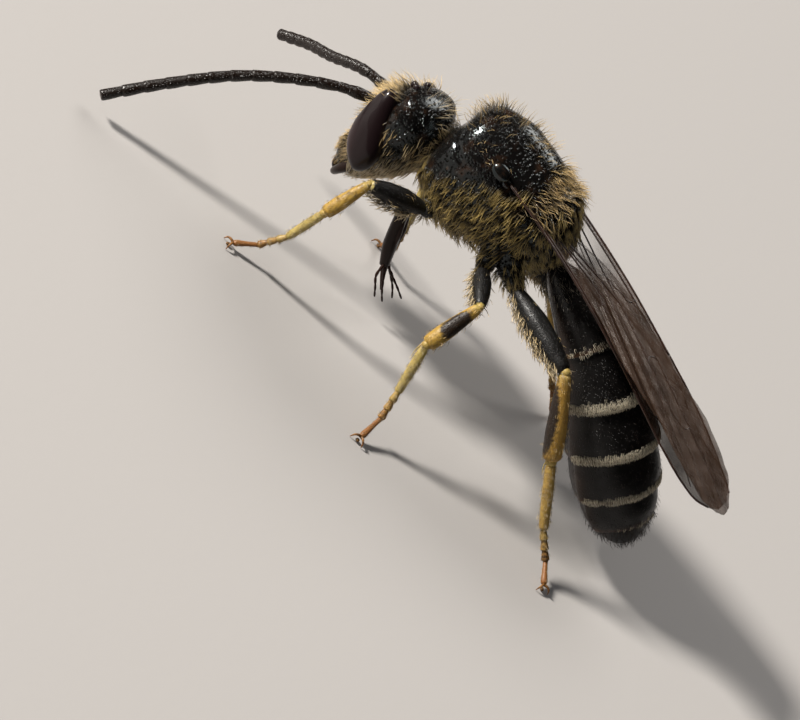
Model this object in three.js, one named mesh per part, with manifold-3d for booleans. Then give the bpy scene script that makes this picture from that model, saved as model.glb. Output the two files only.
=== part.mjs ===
// A male furrow bee, standing: a still, life-size display model.
// Millimetres, +Z up. The bee faces -Y, with its left side toward +X, and stands on z = 0.
// Every solid reaches out to the tips of the coat, and the whole is one rigid body.

import * as THREE from 'three';
import { mergeVertices } from 'three/addons/utils/BufferGeometryUtils.js';
import Module from 'manifold-3d';

const wasm = await Module();
wasm.setup();

// ---- Driving dimensions ----

const GAP = 0.03; // clearance between neighbouring pieces
const SLIM = 0.26; // half thickness of the slimmest lengths of leg and feeler
const FOOT_SINK = 0.08; // how much of each foot's round end is cut off as its flat

const THORAX_HEIGHT = 4.2; // height of the thorax axis above the floor
const THORAX_FRONT = -1.55;
const COLLAR_BACK = -1.0;
const SCUTUM_BACK = 0.75;
const THORAX_BACK = 1.95;
const THORAX_HALF_WIDTH = 1.42;
const THORAX_HALF_HEIGHT = 1.45;

const HEAD_CENTRE = new THREE.Vector3(0, -2.08, 3.2);
const HEAD_TURN = 14; // degrees, toward the bee's right
const HEAD_PITCH = 12; // degrees, the top of the face leaning forward
const CRANIUM_HALF = new THREE.Vector3(1.22, 0.8, 1.25);
const LOWER_FACE_HALF = new THREE.Vector3(0.78, 0.56, 0.78);
const CLYPEUS_HALF = new THREE.Vector3(0.5, 0.36, 0.5);
const MANDIBLE_HALF = new THREE.Vector3(0.24, 0.24, 0.34);
const EYE_HALF = new THREE.Vector3(0.3, 0.38, 0.88);
const NECK_HALF = 0.5;

const FLAGELLUM_LENGTHS = 3;

const ABDOMEN_HALF_WIDTH = 1.12;
const ABDOMEN_HALF_HEIGHT = 1.0;
const TERGITE_MARGINS = [0.3, 0.485, 0.65, 0.795, 0.91]; // shares of the abdomen's length

const TEGULA_HALF = new THREE.Vector3(0.3, 0.3, 0.2);
const WING_LENGTH = 8;
const WING_WIDTH = 2.1; // forewing and hindwing hooked together
const WING_THICKNESS = 0.5;
const WING_RISE = 0.05; // how far the top of the folded wings lies above their roots
const WING_PARTING = 1.8; // heading of the line that parts the folded wings, in degrees
const WING_ROOT = { left: [1.08, 0.1, 4.75], right: [-1.08, 0.1, 4.75] };
const WING_HEADING = { left: 4.5, right: 1.5 }; // degrees that each wing swings to the right
const WING_DROOP = 13; // degrees below level, root to tip
const WING_BOW = 0.2; // rise of a wing's middle above its straight line

// Lengths of a leg, hip to claws: coxa, femur, tibia, first, middle and last of the tarsus.
const LEG_PAIRS = {
  fore: { hip: [0.55, -0.64, 3.15], lengths: [0.35, 1.5, 1.07, 0.92, 0.62, 0.5], femurBelly: 0.12 },
  middle: { hip: [0.55, 0.85, 3.4], lengths: [0.5, 1.38, 1.34, 1.1, 0.6, 0.6], femurBelly: 0.06 },
  hind: { hip: [0.5, 1.2, 3.4], lengths: [0.58, 2.1, 1.84, 1.4, 0.62, 0.5], femurBelly: 0.12 },
};

// Headings and pitches of each length, in degrees. The last pitch is worked out, so that
// the claws reach the floor.
const STANCES = {
  fore_left: { headings: [90, 41, 70, 44, 18, 38], pitches: [-60, -3, -63, -77, -63] },
  fore_right: { headings: [90, 36, 158, 200, 200, 55], pitches: [-60, -10, -41, -65, -73] },
  middle_left: { headings: [135, 114, 80, 123, 122, 91], pitches: [-73, -1, -50, -57, -60] },
  middle_right: { headings: [135, 143, 146, 151, 148, 150], pitches: [-73, -3, -45, -52, -47] },
  hind_left: { headings: [161, 157, 165, 165, 169, 133], pitches: [-28, 0, -50, -47, -37] },
  hind_right: { headings: [161, 158, 165, 163, 160, 140], pitches: [-28, -6, -46, -45, -37] },
};

const SIDES = [['left', 1], ['right', -1]]; // +X is the bee's left

// ---- Finishes ----

function finish(color, roughness) {
  return new THREE.MeshStandardMaterial({ color, roughness, metalness: 0 });
}

const BLACK_SHELL = finish('#17140f', 0.35);
const GOLD_COAT = finish('#6f5f34', 0.85);
const EYE_GLAZE = finish('#1d1216', 0.2);
const FEELER_BROWN = finish('#241c17', 0.5);
const LEG_YELLOW = finish('#c3a24b', 0.5);
const LEG_DARK = finish('#2a2118', 0.5);
const MOUTH_MAROON = finish('#3b1a14', 0.5);
const WING_SMOKE = finish('#6d5b4e', 0.4);

// ---- Placing ----

function radians(degrees) {
  return THREE.MathUtils.degToRad(degrees);
}

function point(x, y, z) {
  return new THREE.Vector3(x, y, z);
}

function at(x, y, z) {
  return new THREE.Matrix4().makeTranslation(x, y, z);
}

// A unit direction. Heading 0 is straight ahead and 90 is out to the given side.
function direction(side, heading, pitch) {
  const level = Math.cos(radians(pitch));
  const out = side * Math.sin(radians(heading)) * level;
  const ahead = Math.cos(radians(heading)) * level;
  return point(out, -ahead, Math.sin(radians(pitch)));
}

// ---- Shapes: each is a function of `grow`, which swells it to cut its neighbours clear ----

function solidOf(geometry) {
  geometry.deleteAttribute('normal');
  geometry.deleteAttribute('uv');
  const merged = mergeVertices(geometry, 1e-4);
  const vertProperties = new Float32Array(merged.attributes.position.array);
  const triVerts = new Uint32Array(merged.index.array);
  return new wasm.Manifold(new wasm.Mesh({ numProp: 3, vertProperties, triVerts }));
}

// A rounded profile along a piece, from 0 to 1 at its widest to 0. Larger powers are blunter.
function swell(s, widest, frontPower, backPower) {
  const away = s < widest ? (widest - s) / widest : (s - widest) / (1 - widest);
  return Math.sqrt(Math.max(0, 1 - away ** (s < widest ? frontPower : backPower)));
}

// A closed body around a spine. half(s) gives its half width and half height.
function loft({ spine, half, sides, rings }) {
  return (grow) => {
    const geometry = new THREE.SphereGeometry(1, sides, rings);
    const position = geometry.attributes.position;
    const up = point(0, 0, 1);
    for (let i = 0; i < position.count; i += 1) {
      const ring = Math.floor(i / (sides + 1));
      const turn = (2 * Math.PI * (i % (sides + 1))) / sides;
      const s = (1 - Math.cos((Math.PI * ring) / rings)) / 2;
      const atPole = ring === 0 || ring === rings;
      const along = spine.getTangentAt(s);
      const across = along.clone().cross(up).normalize();
      const rise = across.clone().cross(along);
      const [wide, high] = atPole ? [0, 0] : half(s).map((value) => value + grow);
      const place = spine.getPointAt(s);
      place.addScaledVector(across, wide * Math.cos(turn));
      place.addScaledVector(rise, high * Math.sin(turn));
      place.addScaledVector(along, (2 * s - 1) * grow);
      position.setXYZ(i, place.x, place.y, place.z);
    }
    return solidOf(geometry);
  };
}

// A round length of limb through two or more points, with blunt ends.
function limb(points, { start = SLIM, end = SLIM, belly = 0, rings = 6 } = {}) {
  return loft({
    spine: new THREE.CatmullRomCurve3(points),
    half: (s) => {
      const thick = THREE.MathUtils.lerp(start, end, s) + belly * Math.sin(Math.PI * s);
      return Array(2).fill(thick * swell(s, 0.5, 6, 6));
    },
    sides: 8,
    rings,
  });
}

function bead(half, matrix, sides = 14, rings = 8) {
  return (grow) => {
    const geometry = new THREE.SphereGeometry(1, sides, rings);
    geometry.scale(half.x + grow, half.y + grow, half.z + grow);
    geometry.applyMatrix4(matrix);
    return solidOf(geometry);
  };
}

function joined(first, second) {
  return (grow) => first(grow).add(second(grow));
}

function block(size, matrix) {
  const geometry = new THREE.BoxGeometry(size, size, size);
  geometry.applyMatrix4(matrix);
  return solidOf(geometry);
}

// ---- The bee, piece by piece: each is cut clear of every piece before it ----

const bee = new THREE.Group();
const placed = [];

function place(name, shape, material) {
  const solid = placed.reduce((left, other) => left.subtract(other), shape(0));
  placed.push(shape(GAP));
  const pieces = solid.decompose().sort((a, b) => b.volume() - a.volume());
  const { vertProperties, triVerts } = pieces[0].getMesh();
  const geometry = new THREE.BufferGeometry();
  geometry.setAttribute('position', new THREE.BufferAttribute(vertProperties, 3));
  geometry.setIndex(new THREE.BufferAttribute(triVerts, 1));
  const mesh = new THREE.Mesh(geometry, material);
  mesh.name = name;
  bee.add(mesh);
}

// ---- Thorax: one form, parted behind the collar and behind the scutum ----

const thorax = loft({
  spine: new THREE.CatmullRomCurve3([
    point(0, THORAX_FRONT, THORAX_HEIGHT - 0.35),
    point(0, -0.7, THORAX_HEIGHT - 0.05),
    point(0, 0.4, THORAX_HEIGHT),
    point(0, THORAX_BACK, THORAX_HEIGHT - 0.45),
  ]),
  half: (s) => {
    const swelling = swell(s, 0.45, 2.4, 2.1);
    return [THORAX_HALF_WIDTH * swelling, THORAX_HALF_HEIGHT * swelling];
  },
  sides: 20,
  rings: 14,
});

function thoraxLength(from, to) {
  return (grow) => {
    const size = 10;
    const front = block(size, at(0, from + GAP / 2 - grow - size / 2, THORAX_HEIGHT));
    const back = block(size, at(0, to - GAP / 2 + grow + size / 2, THORAX_HEIGHT));
    return thorax(grow).subtract(front).subtract(back);
  };
}

place('thorax_front', thoraxLength(THORAX_FRONT - 1, COLLAR_BACK), GOLD_COAT);
place('thorax_middle', thoraxLength(COLLAR_BACK, SCUTUM_BACK), BLACK_SHELL);
place('thorax_rear', thoraxLength(SCUTUM_BACK, THORAX_BACK + 1), GOLD_COAT);

// ---- Head ----

const headFrame = at(HEAD_CENTRE.x, HEAD_CENTRE.y, HEAD_CENTRE.z);
headFrame.multiply(new THREE.Matrix4().makeRotationZ(radians(-HEAD_TURN)));
headFrame.multiply(new THREE.Matrix4().makeRotationX(radians(HEAD_PITCH)));

// A place on the head, in its own left, forward and up.
function onHead(left, forward, up) {
  return point(left, -forward, up).applyMatrix4(headFrame);
}

// A bead on the head, tipped back by `lean` and then sideways by `roll`, in degrees.
function headBead(left, forward, up, half, lean = 0, roll = 0) {
  const matrix = headFrame.clone().multiply(at(left, -forward, up));
  matrix.multiply(new THREE.Matrix4().makeRotationX(radians(lean)));
  matrix.multiply(new THREE.Matrix4().makeRotationY(radians(roll)));
  return bead(half, matrix);
}

for (const [word, side] of SIDES) {
  place(`eye_${word}`, headBead(side * 0.93, 0.25, 0.02, EYE_HALF, 8, side * -10), EYE_GLAZE);
}

const cranium = headBead(0, 0, 0.1, CRANIUM_HALF);
const lowerFace = headBead(0, 0.2, -0.5, LOWER_FACE_HALF);
place('head', joined(cranium, lowerFace), BLACK_SHELL);
place('clypeus', headBead(0, 0.72, -0.98, CLYPEUS_HALF, 12), GOLD_COAT);

for (const [word, side] of SIDES) {
  const mandible = headBead(side * 0.24, 0.64, -1.34, MANDIBLE_HALF, 25, side * 25);
  place(`mandible_${word}`, mandible, MOUTH_MAROON);
}

const neckEnds = [point(0, COLLAR_BACK, THORAX_HEIGHT - 0.4), onHead(0, -0.3, 0.3)];
place('neck', limb(neckEnds, { start: NECK_HALF, end: NECK_HALF }), GOLD_COAT);

// ---- Feelers: a scape and three lengths of flagellum each ----

function feeler(word, points, scapeShare) {
  const spine = new THREE.CatmullRomCurve3(points);
  const lengthOf = (from, to) => {
    const shares = [0, 0.25, 0.5, 0.75, 1].map((part) => THREE.MathUtils.lerp(from, to, part));
    return limb(shares.map((share) => spine.getPointAt(share)));
  };
  place(`scape_${word}`, lengthOf(0, scapeShare), FEELER_BROWN);
  const step = (1 - scapeShare) / FLAGELLUM_LENGTHS;
  for (let i = 0; i < FLAGELLUM_LENGTHS; i += 1) {
    const from = scapeShare + step * i;
    place(`flagellum_${word}_${i + 1}`, lengthOf(from, from + step), FEELER_BROWN);
  }
}

feeler('left', [
  onHead(0.3, 0.62, 0.35),
  point(0.6, -3.7, 3.12),
  point(1.45, -5.0, 2.25),
  point(2.4, -5.98, 1.2),
  point(3.1, -6.62, 0.36),
], 0.17);

feeler('right', [
  onHead(-0.3, 0.62, 0.35),
  point(-0.5, -3.55, 3.3),
  point(-0.85, -4.3, 2.75),
  point(-1.15, -4.75, 2.43),
  point(-1.4, -5.34, 1.95),
], 0.24);

// ---- Proboscis, let down to the floor ----

const TONGUE = { root: point(0, -0.95, 2.35), bend: point(0, -0.55, 1.1), tip: point(0, 0.12, 0.42) };
place('proboscis_base', limb([TONGUE.root, TONGUE.bend]), MOUTH_MAROON);
place('proboscis_tip', limb([TONGUE.bend, TONGUE.tip]), MOUTH_MAROON);

// ---- Abdomen: one bent form, parted at the rear margins of its tergites ----

const abdomenSpine = new THREE.CatmullRomCurve3([
  point(0, 1.75, 3.85),
  point(0, 2.6, 3.62),
  point(-0.05, 3.6, 3.24),
  point(-0.12, 4.7, 2.5),
  point(-0.2, 5.54, 1.82),
  point(-0.3, 6.28, 1.22),
  point(-0.43, 7.04, 0.65),
]);

const abdomen = loft({
  spine: abdomenSpine,
  half: (s) => {
    const swelling = swell(s, 0.6, 1.35, 2.5);
    return [ABDOMEN_HALF_WIDTH * swelling, ABDOMEN_HALF_HEIGHT * swelling];
  },
  sides: 18,
  rings: 14,
});

// All that lies beyond a share of the abdomen's length, toward its tip (1) or its base (-1).
function beyond(share, toward, grow) {
  const size = 6;
  const along = abdomenSpine.getTangentAt(share);
  const away = toward * (size / 2 - GAP / 2 + grow);
  const matrix = new THREE.Matrix4().lookAt(along, point(0, 0, 0), point(1, 0, 0));
  matrix.setPosition(abdomenSpine.getPointAt(share).addScaledVector(along, away));
  return block(size, matrix);
}

for (let i = 0; i <= TERGITE_MARGINS.length; i += 1) {
  const tergite = (grow) => {
    let solid = abdomen(grow);
    if (i > 0) {
      solid = solid.subtract(beyond(TERGITE_MARGINS[i - 1], -1, grow));
    }
    if (i < TERGITE_MARGINS.length) {
      solid = solid.subtract(beyond(TERGITE_MARGINS[i], 1, grow));
    }
    return solid;
  };
  place(`abdomen_${i + 1}`, tergite, BLACK_SHELL);
}

// ---- Legs ----

function legJoints(pair, word, side) {
  const { hip, lengths } = LEG_PAIRS[pair];
  const { headings, pitches } = STANCES[`${pair}_${word}`];
  const joints = [point(side * hip[0], hip[1], hip[2])];
  lengths.forEach((length, i) => {
    const from = joints[i];
    const fall = (SLIM - FOOT_SINK - from.z) / length;
    const pitch = pitches[i] ?? THREE.MathUtils.radToDeg(Math.asin(fall));
    joints.push(from.clone().addScaledVector(direction(side, headings[i], pitch), length));
  });
  return joints;
}

const underFloor = block(40, at(0, 0, -20));

for (const pair of Object.keys(LEG_PAIRS)) {
  for (const [word, side] of SIDES) {
    const [hip, trochanter, knee, ankle, ...toes] = legJoints(pair, word, side);
    const { femurBelly } = LEG_PAIRS[pair];
    const tarsus = limb([ankle, ...toes], { start: 0.28, end: SLIM, rings: 8 });
    place(`coxa_${pair}_${word}`, limb([hip, trochanter], { start: 0.32, end: 0.28 }), LEG_DARK);
    place(`femur_${pair}_${word}`, limb([trochanter, knee], { belly: femurBelly }), LEG_DARK);
    place(`tibia_${pair}_${word}`, limb([knee, ankle], { start: SLIM, end: 0.31 }), LEG_YELLOW);
    place(`tarsus_${pair}_${word}`, (grow) => tarsus(grow).subtract(underFloor), LEG_YELLOW);
  }
}

// ---- Wings, folded flat along the back: the left pair lies on the right pair ----

for (const [word, side] of SIDES) {
  const socket = at(side * 1.3, -0.2, THORAX_HEIGHT + 0.72);
  place(`tegula_${word}`, bead(TEGULA_HALF, socket, 10, 6), BLACK_SHELL);
}

// A folded wing's outline in plan: x out to its own side, y along the wing to its tip.
function wingOutline(side) {
  const outline = new THREE.Shape();
  const bend = (x1, y1, x2, y2, x3, y3) => {
    const [out1, out2, out3] = [x1, x2, x3].map((share) => side * share * WING_WIDTH);
    const [along1, along2, along3] = [y1, y2, y3].map((share) => share * WING_LENGTH);
    outline.bezierCurveTo(out1, along1, out2, along2, out3, along3);
  };
  outline.moveTo(0, 0);
  bend(0.03, 0.3, 0.08, 0.75, -0.2, 0.94);
  bend(-0.36, 1.01, -0.5, 1.02, -0.62, 0.95);
  bend(-1, 0.74, -1.1, 0.5, -0.8, 0.25);
  bend(-0.6, 0.12, -0.25, 0.05, 0, 0);
  return outline;
}

// The folded wings lie on each other as one thin leaf, parted along its middle.
function wing(word, side) {
  const outline = wingOutline(side);
  const size = 20;
  const parting = new THREE.Matrix4().makeRotationZ(radians(WING_PARTING));
  parting.multiply(at((-side * (size - GAP)) / 2, 0, 0));
  const otherSide = block(size, parting);
  return (grow) => {
    const depth = WING_THICKNESS + 2 * grow;
    const options = { depth, bevelEnabled: false, curveSegments: 5 };
    const geometry = new THREE.ExtrudeGeometry(outline, options);
    geometry.translate(0, 0, WING_RISE + grow - depth);
    const position = geometry.attributes.position;
    for (let i = 0; i < position.count; i += 1) {
      const share = position.getY(i) / WING_LENGTH;
      position.setZ(i, position.getZ(i) + WING_BOW * Math.sin(Math.PI * share));
    }
    const matrix = at(...WING_ROOT[word]);
    matrix.multiply(new THREE.Matrix4().makeRotationZ(radians(WING_HEADING[word])));
    matrix.multiply(new THREE.Matrix4().makeRotationX(radians(-WING_DROOP)));
    geometry.applyMatrix4(matrix);
    return solidOf(geometry).subtract(otherSide);
  };
}

for (const [word, side] of SIDES) {
  place(`wing_${word}`, wing(word, side), WING_SMOKE);
}

// The bee stands with the middle of its footprint over the origin.
const reach = new THREE.Box3().setFromObject(bee, true);
bee.position.set(-(reach.min.x + reach.max.x) / 2, -(reach.min.y + reach.max.y) / 2, -reach.min.z);

export default bee;
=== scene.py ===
"""A male furrow bee for display: shell, eyes, legs, wings and coat, laid over its solids."""

import math
from typing import NamedTuple

import bpy
import numpy as np
from bpy.props import FloatProperty, FloatVectorProperty, IntProperty, PointerProperty
from mathutils import Matrix, Vector


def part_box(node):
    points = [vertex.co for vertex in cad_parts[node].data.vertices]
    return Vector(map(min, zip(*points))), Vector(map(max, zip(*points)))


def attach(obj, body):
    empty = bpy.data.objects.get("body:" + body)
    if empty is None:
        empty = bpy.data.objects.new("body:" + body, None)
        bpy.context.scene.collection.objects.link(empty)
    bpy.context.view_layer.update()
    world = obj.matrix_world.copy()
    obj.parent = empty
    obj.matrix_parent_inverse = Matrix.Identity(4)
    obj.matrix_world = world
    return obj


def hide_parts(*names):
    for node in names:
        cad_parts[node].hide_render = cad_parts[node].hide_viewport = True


bl_info = {
    "name": "Furrow Bee",
    "version": (1, 0, 0),
    "blender": (4, 5, 0),
    "location": "3D View > Sidebar > Bee",
    "description": "Dresses a furrow bee's solids with shell, eyes, legs, wings and coat",
    "category": "Add Mesh",
}

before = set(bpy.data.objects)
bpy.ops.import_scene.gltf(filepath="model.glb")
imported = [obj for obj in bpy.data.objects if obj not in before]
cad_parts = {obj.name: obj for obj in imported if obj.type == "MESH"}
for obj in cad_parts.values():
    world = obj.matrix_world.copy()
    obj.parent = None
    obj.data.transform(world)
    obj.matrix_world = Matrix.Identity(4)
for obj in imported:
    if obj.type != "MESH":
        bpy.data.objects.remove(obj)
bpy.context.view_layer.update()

# ---- Sizes shared with the solids: millimetres, the bee facing -Y with its left toward +X ----

MM = 0.001
GAP = 0.03
SLIM = 0.26
FOOT_SINK = 0.08
THORAX_HEIGHT = 4.2
SCUTUM_BACK = 0.75
HEAD_CENTRE = np.array([0, -2.08, 3.2])
HEAD_TURN = 14
HEAD_PITCH = 12
WING_ROOT = {"left": (1.08, 0.1, 4.75), "right": (-1.08, 0.1, 4.75)}
WING_HEADING = {"left": 4.5, "right": 1.5}
WING_DROOP = 13
WING_BOW = 0.2
WING_LENGTH = 8.0
WING_WIDTH = {"left": 1.8, "right": 2.1}
WING_FALL = {"left": 0.4, "right": 0.1}
ABDOMEN_HALF_WIDTH = 1.12
ABDOMEN_HALF_HEIGHT = 1.0
TERGITE_MARGINS = [0.3, 0.485, 0.65, 0.795, 0.91]
ABDOMEN_SPINE = [
    (0, 1.75, 3.85), (0, 2.6, 3.62), (-0.05, 3.6, 3.24), (-0.12, 4.7, 2.5),
    (-0.2, 5.54, 1.82), (-0.3, 6.28, 1.22), (-0.43, 7.04, 0.65),
]
LEG_PAIRS = {
    "fore": ((0.55, -0.64, 3.15), (0.35, 1.5, 1.07, 0.92, 0.62, 0.5)),
    "middle": ((0.55, 0.85, 3.4), (0.5, 1.38, 1.34, 1.1, 0.6, 0.6)),
    "hind": ((0.5, 1.2, 3.4), (0.58, 2.1, 1.84, 1.4, 0.62, 0.5)),
}
STANCES = {
    "fore_left": ((90, 41, 70, 44, 18, 38), (-60, -3, -63, -77, -63)),
    "fore_right": ((90, 36, 158, 200, 200, 55), (-60, -10, -41, -65, -73)),
    "middle_left": ((135, 114, 80, 123, 122, 91), (-73, -1, -50, -57, -60)),
    "middle_right": ((135, 143, 146, 151, 148, 150), (-73, -3, -45, -52, -47)),
    "hind_left": ((161, 157, 165, 165, 169, 133), (-28, 0, -50, -47, -37)),
    "hind_right": ((161, 158, 165, 163, 160, 140), (-28, -6, -46, -45, -37)),
}
SIDES = {"left": 1, "right": -1}

# The solids' own frame: the cut behind the scutum lies in the middle of the bee.
_low, _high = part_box("thorax_rear")
ANCHOR = np.array([(_low.x + _high.x) / 2 / MM, _low.y / MM - SCUTUM_BACK - GAP / 2, 0])

HEAD_TURNED = np.array(
    Matrix.Rotation(math.radians(-HEAD_TURN), 3, "Z") @ Matrix.Rotation(math.radians(HEAD_PITCH), 3, "X")
)


# ---- Small tools for shapes ----


def unit(vectors):
    """The same directions, one long."""
    vectors = np.asarray(vectors, float)
    return vectors / np.maximum(np.linalg.norm(vectors, axis=-1, keepdims=True), 1e-9)


def ramp(value, start, end):
    """0 up to `start`, 1 from `end`, and smooth between them."""
    share = np.clip((np.asarray(value, float) - start) / (end - start), 0, 1)
    return share * share * (3 - 2 * share)


def hump(value, centre, width):
    """1 at `centre`, and smoothly toward 0 beyond `width` on either side."""
    return np.exp(-(((np.asarray(value, float) - centre) / width) ** 2))


def apart(turn, centre):
    """Degrees between two turns round a body, the shorter way."""
    return np.abs((turn - centre + 180) % 360 - 180)


def round_ends(shares, run):
    """1 along a body, falling to 0 in a quarter circle over `run` at each end."""
    return np.sqrt(1 - (1 - np.clip(np.minimum(shares, 1 - shares) / run, 0, 1)) ** 2)


def toned(tone, factor):
    """A darker or lighter tone of a colour."""
    return tuple(min(1, factor * value) for value in tone)


def smooth_line(pairs, shares, softness=0.05):
    """Values at `shares` on a line through (share, value) pairs, with its corners rounded."""
    xs, ys = np.array(pairs, float).T
    fine = np.linspace(0, 1, 401)
    reach = max(1, int(softness * 400))
    kernel = np.hanning(2 * reach + 1)
    padded = np.pad(np.interp(fine, xs, ys), reach, mode="edge")
    return np.interp(shares, fine, np.convolve(padded, kernel / kernel.sum(), "valid"))


def along(points, shares):
    """Places at `shares` of the length of a smooth path through the points."""
    p = np.array(points, float)
    p = np.vstack([2 * p[0] - p[1], p, 2 * p[-1] - p[-2]])
    knots = np.append(0, np.cumsum(np.linalg.norm(np.diff(p, axis=0), axis=1) ** 0.5))
    dense = []
    for i in range(1, len(p) - 2):
        t0, t1, t2, t3 = knots[i - 1:i + 3]
        t = np.linspace(t1, t2, 33)[:, None]
        a1 = ((t1 - t) * p[i - 1] + (t - t0) * p[i]) / (t1 - t0)
        a2 = ((t2 - t) * p[i] + (t - t1) * p[i + 1]) / (t2 - t1)
        a3 = ((t3 - t) * p[i + 1] + (t - t2) * p[i + 2]) / (t3 - t2)
        b1 = ((t2 - t) * a1 + (t - t0) * a2) / (t2 - t0)
        b2 = ((t3 - t) * a2 + (t - t1) * a3) / (t3 - t1)
        dense.append(((t2 - t) * b1 + (t - t1) * b2) / (t2 - t1))
    dense = np.vstack(dense)
    walked = np.append(0, np.cumsum(np.linalg.norm(np.diff(dense, axis=0), axis=1)))
    return np.column_stack([np.interp(np.asarray(shares) * walked[-1], walked, c) for c in dense.T])


def rounded(count):
    """`count` shares from 0 to 1 that crowd toward both ends."""
    return (1 - np.cos(np.linspace(0, math.pi, count))) / 2


def carried_frames(path, up):
    """Directions along, across and up at each place on a path, without twist."""
    ahead = unit(np.gradient(path, axis=0))
    rises = []
    rise = np.array(up, float)
    for direction in ahead:
        rise = unit(rise - direction * (rise @ direction))
        rises.append(rise)
    rises = np.array(rises)
    return ahead, np.cross(rises, ahead), rises


class Form:
    """Closed shapes gathered for one piece, in the bee's own millimetres."""

    def __init__(self):
        self.points, self.faces, self.marks, self.count = [], [], [], 0

    def add(self, points, faces, **marks):
        self.points.append(np.asarray(points, float))
        self.faces += [tuple(i + self.count for i in face) for face in faces]
        self.marks.append(marks)
        self.count += len(points)

    def tube(self, path, half, sides=24, up=(0, 0, 1), relief=None, **marks):
        """A closed body round a path. Its first and last places are its poles.

        half holds (half width, half height) at each place. relief(share, turn) scales them,
        with turn 0 toward the left of an upright path's heading and 90 degrees at its top.
        A mark is one number, one for each place, or a function of share and turn.
        """
        path = np.asarray(path, float)
        half = np.broadcast_to(np.asarray(half, float).reshape(len(path), -1), (len(path), 2))
        ahead, across, rise = carried_frames(path, up)
        turns = np.linspace(0, 2 * math.pi, sides, endpoint=False)
        shares = np.linspace(0, 1, len(path))[1:-1, None]
        swelling = relief(shares, np.degrees(turns)[None]) if relief else 1
        swelling = np.broadcast_to(swelling, (len(path) - 2, sides))[..., None]
        inner = slice(1, -1)
        round_wide = across[inner, None] * (half[inner, :1] * np.cos(turns))[..., None]
        round_high = rise[inner, None] * (half[inner, 1:] * np.sin(turns))[..., None]
        rings = path[inner, None] + (round_wide + round_high) * swelling
        points = np.vstack([path[:1], rings.reshape(-1, 3), path[-1:]])
        grid = np.arange(1, 1 + (len(path) - 2) * sides).reshape(-1, sides)
        after = np.roll(grid, -1, axis=1)
        faces = [(0, b, a) for a, b in zip(grid[0], after[0])]
        faces += list(zip(*(g.ravel() for g in (grid[:-1], after[:-1], after[1:], grid[1:]))))
        faces += [(len(points) - 1, a, b) for a, b in zip(grid[-1], after[-1])]
        spread = {}
        for name, mark in marks.items():
            if callable(mark):
                mark = np.broadcast_to(mark(shares, np.degrees(turns)[None]), grid.shape)
            elif np.ndim(mark) == 1:
                mark = np.broadcast_to(np.asarray(mark)[inner, None], grid.shape)
            else:
                mark = np.full(grid.shape, mark)
            spread[name] = np.concatenate([mark[0, :1], mark.ravel(), mark[-1, :1]])
        spread["ahead"] = np.vstack([ahead[:1], np.repeat(ahead[inner], sides, axis=0), ahead[-1:]])
        self.add(points, faces, **spread)

    def bead(self, centre, axes, half, rings=24, sides=32, power=2.0, relief=None, **marks):
        """A rounded bead: axes holds its left, forward and up directions."""
        shares = rounded(rings)
        levels = 2 * shares - 1
        girth = (1 - np.abs(levels) ** power) ** (1 / power)
        _, forward, up = np.asarray(axes, float)
        path = np.asarray(centre) + levels[:, None] * half[2] * up
        widths = np.column_stack([girth * half[0], girth * half[1]])
        self.tube(path, widths, sides, forward, relief, **marks)

    def arrays(self):
        names = dict.fromkeys(name for marks in self.marks for name in marks)
        columns = {
            name: np.concatenate([
                marks.get(name, np.zeros((len(points), 3) if name == "ahead" else len(points)))
                for points, marks in zip(self.points, self.marks)
            ])
            for name in names
        }
        return np.vstack(self.points), self.faces, columns


def head_place(left, forward, up):
    """A place on the turned head, from its centre."""
    return HEAD_CENTRE + HEAD_TURNED @ np.array([left, -forward, up])


def head_axes(lean=0, roll=0):
    """Left, forward and up of a part of the head, tipped back and then sideways."""
    tip = Matrix.Rotation(math.radians(lean), 3, "X") @ Matrix.Rotation(math.radians(roll), 3, "Y")
    turned = HEAD_TURNED @ np.array(tip)
    return turned[:, 0], -turned[:, 1], turned[:, 2]


def in_head(points):
    """Left, forward and up of places, seen from the head's centre."""
    local = (points - HEAD_CENTRE) @ HEAD_TURNED
    return local[:, 0], -local[:, 1], local[:, 2]


def leg_joints(pair, word):
    """Hip, knuckle, knee, ankle, heel, toe and foot of one leg, which stands on the floor."""
    side = SIDES[word]
    (out, back, height), lengths = LEG_PAIRS[pair]
    headings, pitches = STANCES[f"{pair}_{word}"]
    joints = [np.array([side * out, back, height])]
    for i, length in enumerate(lengths):
        fall = (SLIM - FOOT_SINK - joints[-1][2]) / length
        pitch = math.radians(pitches[i]) if i < len(pitches) else math.asin(fall)
        heading = math.radians(headings[i])
        level = math.cos(pitch) * length
        step = [side * math.sin(heading) * level, -math.cos(heading) * level, math.sin(pitch) * length]
        joints.append(joints[-1] + step)
    return joints


# ---- From shapes to pieces ----

COMBING_MARKS = ("ahead", "fur", "under")  # read by the coat, and not by any material


def new_mesh(name, points, faces, marks, own_frame=False):
    """A mesh in metres, in the solids' frame, or in millimetres in the bee's own frame."""
    mesh = bpy.data.meshes.new(name)
    mesh.from_pydata(points if own_frame else (points + ANCHOR) * MM, [], faces)
    for mark, values in marks.items():
        values = np.asarray(values, np.float32)
        kind, field = ("FLOAT", "value") if values.ndim == 1 else ("FLOAT_VECTOR", "vector")
        mesh.attributes.new(mark, kind, "POINT").data.foreach_set(field, values.ravel())
    mesh.shade_smooth()
    mesh.update()
    return mesh


def add_object(name, mesh):
    piece = bpy.data.objects.new(name, mesh)
    bpy.context.scene.collection.objects.link(piece)
    return piece


def finish_piece(name, mesh, material, nodes=()):
    """Makes a finished mesh a piece, which takes the place of the named solids."""
    mesh.materials.clear()
    mesh.materials.append(material)
    piece = add_object(name, mesh)
    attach(piece, "root")
    if nodes:
        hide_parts(*nodes)


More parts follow.
